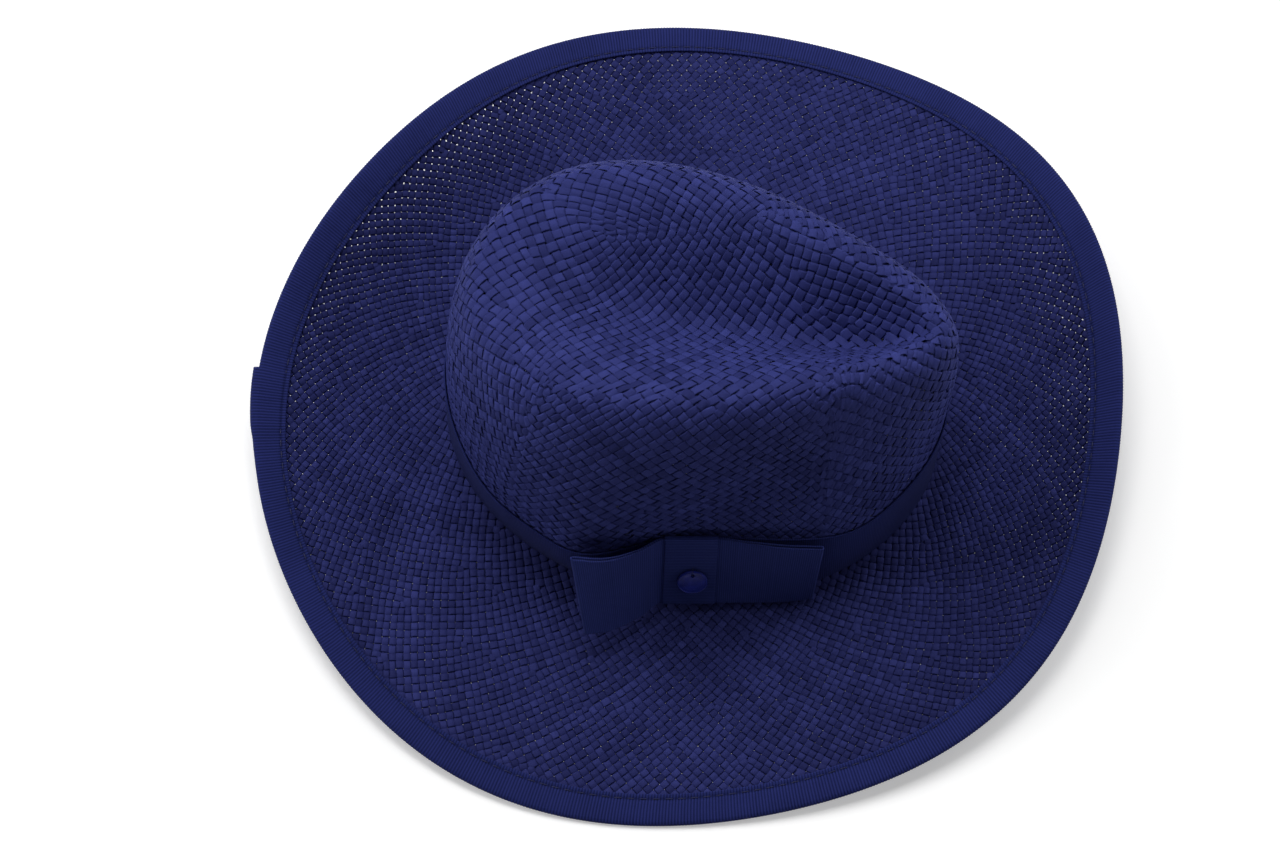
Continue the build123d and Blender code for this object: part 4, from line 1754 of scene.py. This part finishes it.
@dataclass
class KnotFrame:
    """Place and directions of the bow's knot: along the band, up it, and out of it."""

    form: HatForm
    angle: float = math.radians(-85.4)
    height: float = 20.0 * MM
    seat: float = 3.0 * MM
    band_face: float = 0.75 * MM
    twist: float = math.radians(6.0)

    def __post_init__(self) -> None:
        """Work the directions out from the crown wall's normal."""
        angle, station = np.array([self.angle]), self.form.wall_station(np.array([self.height]))
        normal = self.form.directions(angle, station)[1][0]
        self.point = self.form.skin(angle, station, self.band_face + self.seat)[0]
        level = unit(np.cross([0, 0, 1], normal))
        self.up = np.cross(normal, level)
        self.along = level * math.cos(self.twist) + np.cross(self.up, level) * math.sin(self.twist)
        self.out = np.cross(self.along, self.up)

    def at(self, along: np.ndarray, up: np.ndarray, out: np.ndarray) -> np.ndarray:
        """Points from distances along, up and out of the knot's seat."""
        along, up, out = (np.asarray(value)[..., None] for value in np.broadcast_arrays(along, up, out))
        return self.point + self.along * along + self.up * up + self.out * out


@dataclass
class Bow:
    """Flat bow: one closed loop of ribbon to both sides, and a knot of ribbon round its middle.

    The arms give the middle of the front layer in millimetres, as distances along the knot and
    out of its seat, from the folded end inwards, and opened the distance between both layers.
    """

    frame: KnotFrame
    grain: Grosgrain = Grosgrain(pitch=0.85 * MM, height=0.10 * MM)
    layer_gap: float = 0.15 * MM
    knot_width: float = 21.0 * MM
    bow_height: float = 35.0 * MM
    upper_left: tuple = ((-47, 13.5), (-34, 13.7), (-21, 8.8))
    upper_right: tuple = ((51, 7.5), (34, 6.0), (21, 3.9))
    lower_left: tuple = ((-41, 19.5), (-31, 17.2), (-19, 9.2))
    lower_right: tuple = ((49, -0.1), (34, 1.2), (21, 1.8))
    opened: tuple = (1.6, 1.5, 1.1)

    @property
    def bow_back(self) -> float:
        """Middle of the back layer where the knot holds it."""
        return self.grain.thickness * 1.5 + self.layer_gap

    @property
    def bow_front(self) -> float:
        """Middle of the front layer where the knot holds it."""
        return self.bow_back + self.grain.thickness + self.layer_gap

    @property
    def knot_face(self) -> float:
        """Knot's outer face."""
        return self.bow_front + 1.5 * self.grain.thickness + self.layer_gap

    def arm(self, points: tuple, share: np.ndarray) -> tuple[np.ndarray, np.ndarray, np.ndarray]:
        """Front and back layer of an arm, from its folded end (0) to the knot (1).

        Args:
            points: the arm's middle line, as the class says.
            share: places along it.

        Returns:
            Distances along, and out to the front and to the back layer.
        """
        ends = MM * np.array(points, float)
        near = math.copysign(self.knot_width / 2, ends[0, 0])
        front = np.vstack([ends, [near, self.bow_front]])
        gap = np.column_stack([front[:, 0], np.append(MM * np.array(self.opened),
                                                      self.bow_front - self.bow_back)])
        x = ends[0, 0] + (near - ends[0, 0]) * share
        height = hermite(x, front)
        return x, height, height - hermite(x, gap)

    def outline(self, left: tuple, right: tuple, counts: tuple[int, int, int, int]) -> np.ndarray:
        """Closed middle line of the loop at one level, as distances along and out.

        Args:
            left: middle line of the left arm.
            right: middle line of the right arm.
            counts: number of rows on the left, the middle, the right and a fold.

        Returns:
            Points of the plane.
        """
        left_n, flat_n, right_n, fold_n = counts
        lx, lf, lb = self.arm(left, np.arange(left_n) / left_n)
        rx, rf, rb = self.arm(right, np.arange(right_n) / right_n)
        half = self.knot_width / 2
        flat = np.linspace(-half, half, flat_n, endpoint=False)
        bend = np.arange(1, fold_n) * math.pi / fold_n

        def folded(x: float, front: float, back: float, sign: int) -> np.ndarray:
            """Half circle from the front layer to the back one."""
            radius = (front - back) / 2
            return np.column_stack([x + sign * radius * np.sin(bend),
                                    (front + back) / 2 + radius * np.cos(bend)])

        def layer(start: tuple, end: tuple, sign: int, level: float) -> list[np.ndarray]:
            """A layer from one fold to the other: an arm, the flat middle and the other arm."""
            arm = np.column_stack([np.append(end[0], sign * half), np.append(end[1], level)])
            return [np.column_stack(start), np.column_stack([sign * flat, np.full(flat_n, level)]),
                    arm[::-1]]

        return np.concatenate([*layer((lx, lf), (rx, rf), 1, self.bow_front),
                               folded(rx[0], rf[0], rb[0], 1),
                               *layer((rx, rb), (lx, lb), -1, self.bow_back),
                               folded(lx[0], lf[0], lb[0], -1)[::-1]])

    def across(self, width: float) -> tuple[np.ndarray, np.ndarray]:
        """Places across a ribbon from its middle, close together at its edges, and edge swell."""
        share = np.array([-1, -0.975, -0.93, -0.87, -0.5, 0, 0.5, 0.87, 0.93, 0.975, 1])
        return share * width / 2, self.grain.edges(width / 2 * (1 - np.abs(share)))

    def closed_ribbon(self, line: np.ndarray, width: float,
                      put: Callable[[np.ndarray, np.ndarray], np.ndarray]) -> Skin:
        """Ribbon round a closed line: the line moved out and in by half the thickness.

        Args:
            line: the line's points by row and by place across, in its own plane.
            width: the ribbon's width.
            put: gives points in space from points of the plane and places across.

        Returns:
            The skin.
        """
        places, swell = self.across(width)
        tangent = unit(np.roll(line, -1, 0) - np.roll(line, 1, 0))
        normal = np.stack([-tangent[..., 1], tangent[..., 0]], -1)
        rib = self.grain.swell(len(line))[:, None] * (1 + 3 * swell / MM)
        half = self.grain.thickness / 2
        outer = put(line + normal * (half + rib + swell * 0.5)[..., None], places)
        inner = put(line - normal * half, places)
        outline = np.concatenate([outer, inner[:, ::-1]], 1)
        across = np.concatenate([places, places[::-1]]) / MM
        return tubes(outline[None], True, across, self.grain.per_rib)

    def loop_skin(self) -> Skin:
        """The bow's loop, ruled between its outlines at the lower and the upper edge.

        Returns:
            The skin.
        """
        per = self.grain.per_rib
        counts = tuple(per * int(round(length / self.grain.pitch))
                       for length in (36.5 * MM, self.knot_width, 39.5 * MM))
        counts = (*counts, 2 * per - 1)
        low = self.outline(self.lower_left, self.lower_right, counts)
        high = self.outline(self.upper_left, self.upper_right, counts)
        places, _ = self.across(self.bow_height)
        share = (places / self.bow_height + 0.5)[None, :, None]
        line = low[:, None] * (1 - share) + high[:, None] * share
        line = line[:len(line) - len(line) % per]
        x = line[..., 0]
        ripple = 0.25 * MM * np.sin(x / (5.5 * MM) + 1.2) * np.clip(np.abs(x) / (30 * MM) - 0.4, 0, 1)
        line[..., 1] += ripple
        return self.closed_ribbon(line, self.bow_height, lambda plane, up: self.frame.at(
            plane[..., 0], np.broadcast_to(up, plane.shape[:2]), plane[..., 1]))

    def knot_skin(self) -> Skin:
        """The knot's ribbon round the bow: a rectangle with rounded corners, from its side.

        Each point is one of a core rectangle moved outwards by the corner radius.

        Returns:
            The skin.
        """
        half = self.grain.thickness / 2
        height = self.bow_height + 2 * self.layer_gap + 2 * half
        radius = 0.75 * MM
        straight, thick = height - 2 * radius, self.knot_face - 2 * half - 2 * radius
        low, high = half + radius, half + radius + thick
        legs = [straight, math.pi / 2 * radius, thick, math.pi / 2 * radius] * 2
        marks = np.concatenate([[0], np.cumsum(legs)])
        count = self.grain.rows(marks[-1])
        run = np.arange(count) * marks[-1] / count
        turn = np.interp(run, marks, [0, 0, 1, 1, 2, 2, 3, 3, 4]) * math.pi / 2
        up = np.interp(run, marks, straight / 2 * np.array([-1, 1, 1, 1, 1, -1, -1, -1, -1]))
        out = np.interp(run, marks, [high, high, high, low, low, low, low, high, high])
        line = np.column_stack([up + radius * np.sin(turn), out + radius * np.cos(turn)])
        places, _ = self.across(self.knot_width)
        line = np.repeat(line[:, None], len(places), 1)
        share = 2 * places / self.knot_width
        line[..., 1] -= 0.16 * MM * share**4 * (line[..., 1] > self.knot_face / 2)
        return self.closed_ribbon(line, self.knot_width, lambda plane, along: self.frame.at(
            np.broadcast_to(along, plane.shape[:2]), plane[..., 0], plane[..., 1]))

    def build(self) -> None:
        """Fold the bow and tie the knot."""
        navy = RibbonFinish("navy_grosgrain_bow", rgba(0.0105, 0.0160, 0.080),
                            rgba(0.0360, 0.0510, 0.245)).material()
        Workshop.piece("bow_loops", self.loop_skin(), navy, "hat", "grosgrain", ("bow_ribbon",))
        Workshop.piece("bow_knot_wrap", self.knot_skin(), navy, "hat", "grosgrain", ("bow_knot",))


@dataclass(frozen=True)
class CharmFinish:
    """Glossy indigo enamel with faint clouding."""

    name: str = "indigo_enamel"
    deep: tuple = rgba(0.0075, 0.0135, 0.155)
    pale: tuple = rgba(0.0155, 0.0250, 0.270)

    def material(self) -> bpy.types.Material:
        """Clouded colour under a clear coat.

        Returns:
            The material.
        """
        bench = Bench(self.name)
        cloud = bench.noise(bench.place(), 320.0, 3.0)
        scratch = bench.noise(bench.place(), 2400.0, 2.0)
        colour = bench.mix(cloud.between(0.3, 0.7), self.deep, self.pale)
        bench.bump(scratch, 0.01 * MM, 0.5)
        return bench.finish(Base_Color=colour, Roughness=scratch * 0.12 + 0.28, Coat_Weight=0.05,
                            Coat_Roughness=0.15, Specular_IOR_Level=0.2)


@dataclass
class Charm:
    """Round charm that hangs on a loop of thread in front of the knot."""

    frame: KnotFrame
    knot_face: float
    radius: float = 6.0 * MM
    rim: float = 0.9 * MM
    dome: float = 0.35 * MM
    hole_radius: float = 0.8 * MM
    hole_inset: float = 2.2 * MM
    side: float = 1.0 * MM
    drop: float = 4.4 * MM
    pivot: float = 5.3 * MM
    standoff: float = 1.05 * MM
    thread_gap: float = 0.25 * MM
    thread_radius: float = 0.15 * MM
    loop_radius: float = 1.2 * MM
    loop_end: float = math.radians(33)

    def at(self, along: np.ndarray, up: np.ndarray, out: np.ndarray) -> np.ndarray:
        """Points from distances to the pivot."""
        return self.frame.at(self.side + along, self.pivot - self.drop + up,
                             self.knot_face + self.standoff + out)

    def ring(self, centre_up: float, centre_out: float, radius: float, thick: float,
             count: int) -> Skin:
        """Torus in the disc's plane about a centre.

        Args:
            centre_up: the centre's distance up from the pivot.
            centre_out: its distance out from the pivot.
            radius: the ring's radius.
            thick: half its thickness.
            count: number of rows.

        Returns:
            The skin.
        """
        turn = np.arange(count) * TURN / count
        centres = self.at(radius * np.cos(turn), centre_up + radius * np.sin(turn), centre_out)
        spoke = self.frame.along * np.cos(turn)[:, None] + self.frame.up * np.sin(turn)[:, None]
        out = np.broadcast_to(self.frame.out, spoke.shape)
        return rods(centres[None], spoke[None], out[None], thick, True, 10)

    def thread_skin(self) -> Skin:
        """Two plies that twist about the loop: an arc round the pivot and a straight end.

        Returns:
            The skin.
        """
        drop = self.standoff - self.thread_gap
        start = math.pi + math.asin(drop / self.loop_radius)
        turn = np.linspace(start, self.loop_end, 60)
        up, out = self.loop_radius * np.cos(turn), self.loop_radius * np.sin(turn)
        run = (out[-1] + drop) / math.cos(self.loop_end)
        way = np.linspace(0, run, 24)[1:]
        up = np.append(up, up[-1] + way * math.sin(self.loop_end))
        out = np.append(out, out[-1] - way * math.cos(self.loop_end))
        path = np.column_stack([up, out])
        length = np.concatenate([[0], np.cumsum(np.linalg.norm(np.diff(path, axis=0), axis=1))])
        heading = unit(np.gradient(path, axis=0))
        lead = np.column_stack([-heading[:, 1], heading[:, 0]])
        skins = []
        for phase in (0.0, math.pi):
            twist = length / (0.9 * MM) * TURN + phase
            sway = 0.45 * self.thread_radius
            plane = path + lead * (sway * np.cos(twist))[:, None]
            centres = self.at(sway * np.sin(twist), plane[:, 0], plane[:, 1])
            side = self.frame.up * lead[:, :1] + self.frame.out * lead[:, 1:]
            along = np.broadcast_to(self.frame.along, side.shape)
            skins.append(rods(centres[None], side[None], along[None], 0.58 * self.thread_radius,
                              False, 8))
        return skins[0].join(skins[1])

    def build(self) -> None:
        """Dress the disc, add its raised rings and hang it on its thread."""
        enamel = CharmFinish().material()
        Workshop.refinish("charm_disc", enamel)
        face = self.rim / 2
        rim = self.ring(-self.pivot, face + 0.02 * MM, self.radius - 0.45 * MM, 0.26 * MM, 72)
        inner = self.ring(-self.pivot, face + self.dome * 0.55, self.radius * 0.6, 0.1 * MM, 60)
        eyelet = self.ring(self.radius - self.hole_inset - self.pivot, face + self.dome * 0.3,
                           self.hole_radius + 0.2 * MM, 0.14 * MM, 36)
        Workshop.piece("charm_rings", rim.join(inner).join(eyelet), enamel, "charm", "charm")
        Workshop.piece("charm_thread_loop", self.thread_skin(),
                       ThreadFinish("charm_thread_twist").material(), "hat", "thread",
                       ("charm_thread",))


@dataclass(frozen=True)
class WireFinish:
    """Drawn steel wire inside the binding."""

    name: str = "drawn_steel_wire"

    def material(self) -> bpy.types.Material:
        """Fine scratches and a slight change of tone.

        Returns:
            The material.
        """
        bench = Bench(self.name)
        scratch = bench.noise(bench.place(), 1500.0, 2.0)
        colour = bench.mix(scratch, rgba(0.35, 0.35, 0.36), rgba(0.55, 0.55, 0.56))
        return bench.finish(Base_Color=colour, Metallic=1.0, Roughness=scratch * 0.2 + 0.25)


# ---- Studio ----


@dataclass(frozen=True)
class Studio:
    """Floor, light and camera."""

    eye: tuple = (0.0880, -0.7436, 1.5280)
    aim: tuple = (-0.0209, -0.0064, 0.0)
    lens: float = 116.75
    lamps: tuple = (("top", (-0.3, 0.65, 1.85), 19.0), ("far_right", (1.15, 1.4, 0.85), 12.0),
                    ("left_low", (-1.8, -0.2, 0.85), 10.0), ("left_far", (-1.3, 0.7, 1.35), 9.0),
                    ("front_low", (1.8, 0.0, 0.85), 5.0))
    lamp_size: float = 1.0

    def build(self, floor_height: float) -> None:
        """Set up the studio.

        Args:
            floor_height: where the hat stands.
        """
        self._floor(floor_height)
        for lamp in self.lamps:
            self._lamp(*lamp)
        self._world()
        camera = bpy.data.cameras.new("camera")
        camera.lens, camera.sensor_width = self.lens, 36.0
        seat = bpy.data.objects.new("camera", camera)
        seat.location = self.eye
        seat.rotation_euler = (Vector(self.aim) - Vector(self.eye)).to_track_quat("-Z", "Y").to_euler()
        bpy.context.scene.collection.objects.link(seat)
        bpy.context.scene.camera = seat
        bpy.context.scene.view_settings.view_transform = "Standard"

    def _floor(self, height: float) -> None:
        """A pale floor that shows white to the camera.

        Args:
            height: where the hat stands.
        """
        mesh = bpy.data.meshes.new("floor")
        reach = 6.0
        corners = ((-reach, -reach), (reach, -reach), (reach, reach), (-reach, reach))
        mesh.from_pydata([(*corner, height) for corner in corners], [], [(0, 1, 2, 3)])
        bench = Bench("white_floor")
        camera, glossy, through = (bench.add("ShaderNodeLightPath", {}, {}, output) for output in
                                   ("Is Camera Ray", "Is Glossy Ray", "Is Transmission Ray"))
        place = bench.place()
        x, y = (bench.add("ShaderNodeSeparateXYZ", {}, {0: place}, axis) for axis in (0, 1))
        beside = ((x * x + y * y) ** 0.5).between(0.10, 0.13)
        seen = bench.mix((camera + glossy + through).between(0, 1) * beside, rgba(0, 0, 0),
                         rgba(0.35, 0.35, 0.35))
        bench.finish(Base_Color=rgba(0.9, 0.9, 0.9), Roughness=0.9, Emission_Color=seen,
                     Emission_Strength=1.0)
        mesh.materials.append(bench.material)
        floor = bpy.data.objects.new("floor", mesh)
        bpy.context.scene.collection.objects.link(floor)
        floor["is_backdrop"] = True

    def _lamp(self, name: str, place: tuple, power: float) -> None:
        """A soft square lamp that faces the hat.

        Args:
            name: the lamp's name.
            place: where it hangs.
            power: its power in watts.
        """
        light = bpy.data.lights.new(name, "AREA")
        light.size, light.energy = self.lamp_size, power
        lamp = bpy.data.objects.new(name, light)
        lamp.location = place
        lamp.rotation_euler = (-Vector(place)).to_track_quat("-Z", "Y").to_euler()
        bpy.context.scene.collection.objects.link(lamp)

    @staticmethod
    def _world() -> None:
        """Even white surroundings."""
        world = bpy.data.worlds.new("studio")
        world.use_nodes = True
        inputs = world.node_tree.nodes["Background"].inputs
        inputs["Color"].default_value = rgba(1, 1, 1)
        inputs["Strength"].default_value = 0.07
        bpy.context.scene.world = world


def main() -> None:
    """Build the hat and its studio."""
    logging.basicConfig(level=logging.INFO, format="%(message)s")
    cad_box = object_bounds()
    form = HatForm()
    Studio().build(cad_box[0][2])
    StrawBody(form).build()
    BrimEdge(form).build()
    bands = CrownBands(form)
    bands.build()
    bow = Bow(KnotFrame(form, band_face=bands.band_face))
    bow.build()
    Charm(bow.frame, bow.knot_face).build()
    Workshop.refinish("brim_wire", WireFinish().material())


if __name__ == "__main__":
    main()
